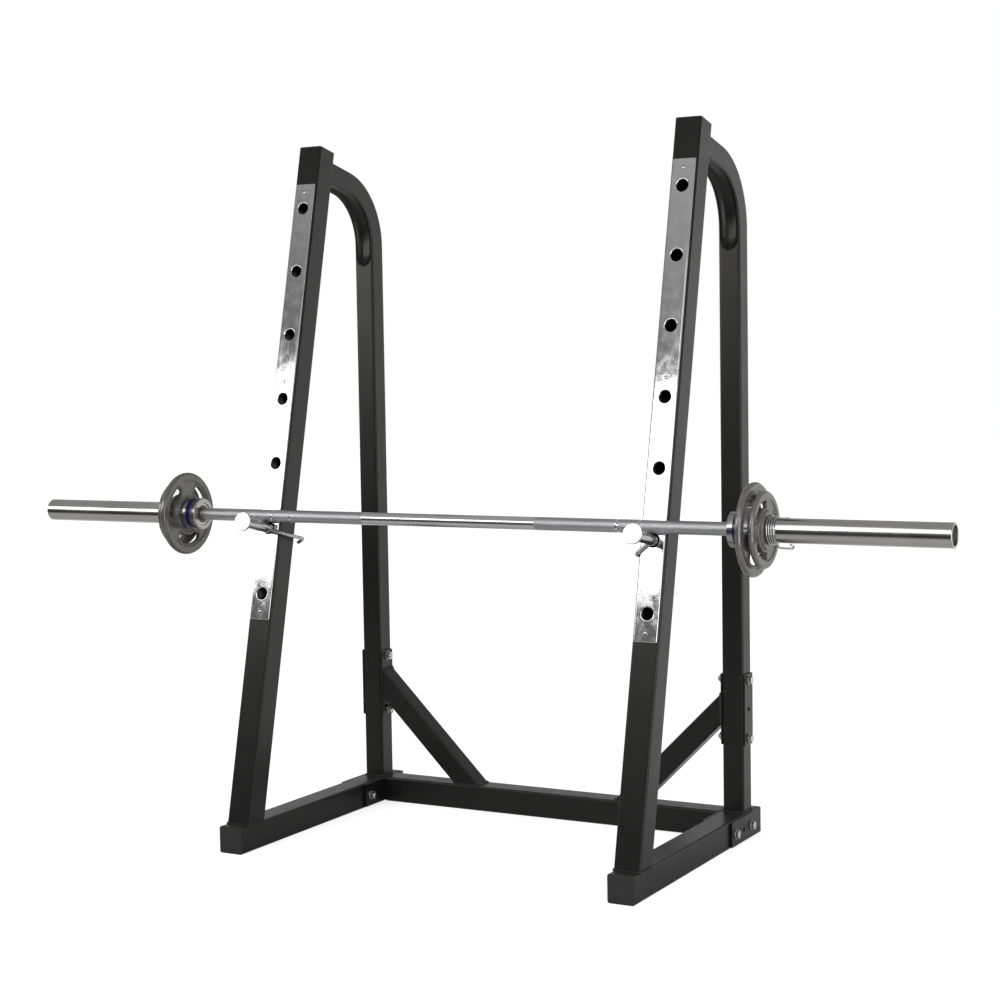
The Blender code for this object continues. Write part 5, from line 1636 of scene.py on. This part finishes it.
def weight_plate(diameter, thickness, hub, rim, grip, angles):
    """A whole plate above its inner face, with a grip at each angle."""
    disc = turned("disc", plate_profile(diameter, thickness, hub, *rim), PLATE_SIDES, True)
    drawing = grip_drawing(*grip)
    opening = inset(drawing, LIP_WIDTH * 0.4)
    slot = skinned("slot", [raised(opening, height) for height in (-thickness, 2 * thickness)],
                   capped=True)
    rim_thickness, rim_start = rim[1:]
    lip_height = rim_thickness - 2 * RECESS + 2 * LIP_RISE
    lip = lip_mesh(inset(drawing, -LIP_WIDTH * 0.3), LIP_WIDTH, lip_height)
    lip = moved(lip, Matrix.Translation((0.0, 0.0, rim_start + rim_thickness / 2)))
    turns = [Matrix.Rotation(angle, 4, "Z") for angle in angles]
    slots = joined("slots", [moved(slot.copy(), turn) for turn in turns])
    lips = [moved(lip.copy(), turn) for turn in turns]
    return joined("plate", [carved(disc, slots, "DIFFERENCE")] + lips)


PLATES = (
    # size, diameter, thickness, hub, rim's width, thickness and start, grip's radius and width,
    # turn of the first grip
    ("large", 0.190, 0.0197, 0.078, (0.017, 0.0134, 0.0010), (0.060, 0.026), math.radians(30.0)),
    ("small", 0.156, 0.0192, 0.076, (0.014, 0.0116, 0.0028), (0.0515, 0.019), 0.0))
for side, sign in SIDES:
    for size, diameter, thickness, hub, rim, grip, first in PLATES:
        name = side + "_" + size
        inner = reach_of(name + "_plate")[0]
        angles = [math.atan2(math.cos(place), -sign * math.sin(place))
                  for place in (first + 2 * math.pi * index / 3 for index in range(3))]
        disc = weight_plate(diameter, thickness, hub, rim, grip, angles)
        disc = moved(disc, on_bar(sign) @ Matrix.Translation((0.0, 0.0, inner)))
        piece(name + "_weight", disc, HAMMERTONE, name + "_disc", "cast_iron", name + "_plate")

# %% [markdown]
# ## Spring collars
#
# A spring of 4 mm wire grips the sleeve beside the plates. It is one unbroken wire: a short
# handle, three turns and a half and a longer handle that curls back. The turns are a formula,
# the handles are a few chosen points, and a smooth path runs through them all.

# %% Spring collars
SPRING_WIRE = 0.004
SPRING_SIDES = 5
SPRING_PLAY = 0.0004
SPRING_TURNS = 3.417
SPRING_TURN_GAP = 0.0008
SPRING_STEPS = 16
SMOOTHING = 4
HEAD_HANDLE = 0.012
TAIL_HANDLE = 0.032
HANDLE_LIFT = 0.0064


def spring_points(start_x):
    """Centre line of a spring about Z, from its first handle to its last."""
    radius = SLEEVE_RADIUS + SPRING_PLAY + SPRING_WIRE / 2
    pitch = SPRING_WIRE + SPRING_TURN_GAP
    low = start_x + SPRING_WIRE / 2
    high = low + SPRING_TURNS * pitch
    lifted = radius + HANDLE_LIFT
    head_tip = high + HEAD_HANDLE
    tip = high + TAIL_HANDLE
    w = SPRING_WIRE
    last = SPRING_TURNS * 360.0
    count = round(SPRING_TURNS * SPRING_STEPS)
    # each point is a distance from the bar's axis, a turn in degrees and a height
    places = [
        (lifted + w, -54, head_tip), (lifted + 0.6 * w, -53, head_tip - 1.2 * w),
        (lifted, -50, head_tip - 2.6 * w), (lifted, -50, low + 2.0 * w),
        (lifted, -49, low + 1.1 * w), (lifted, -43, low + 0.3 * w),
        (lifted - 0.3 * w, -33, low), (lifted - 0.9 * w, -17, low)]
    places += [(radius, last * step / count, low + (high - low) * step / count)
               for step in range(count + 1)]
    places += [
        (radius + 0.3 * w, last + 12, high + 0.2 * w),
        (lifted - 0.2 * w, last + 22, high + 0.8 * w),
        (lifted + 0.2 * w, last + 28, high + 1.8 * w), (lifted + 0.3 * w, last + 30, tip - 1.1 * w),
        (lifted, last + 30, tip - 0.3 * w), (lifted - 0.7 * w, last + 29, tip),
        (lifted - 1.3 * w, last + 24, tip - 0.5 * w), (lifted - 1.5 * w, last + 20, tip - 1.4 * w)]
    points = []
    for distance, degrees, height in places:
        angle = math.pi + math.radians(degrees)
        points.append(Vector((distance * math.cos(angle), distance * math.sin(angle), height)))
    return points


for side, sign in SIDES:
    start = reach_of(side + "_small_plate")[1] + GAP
    path = smooth_path(spring_points(start), SMOOTHING)
    spring = wire("spring", path, SPRING_WIRE / 2, SPRING_SIDES)
    turn = Matrix.Rotation(0.0 if sign > 0 else math.pi, 4, "Z")
    piece(side + "_spring", moved(spring, on_bar(sign) @ turn), BRIGHT_CHROME,
          side + "_spring_clip", "chrome", side + "_spring_collar")
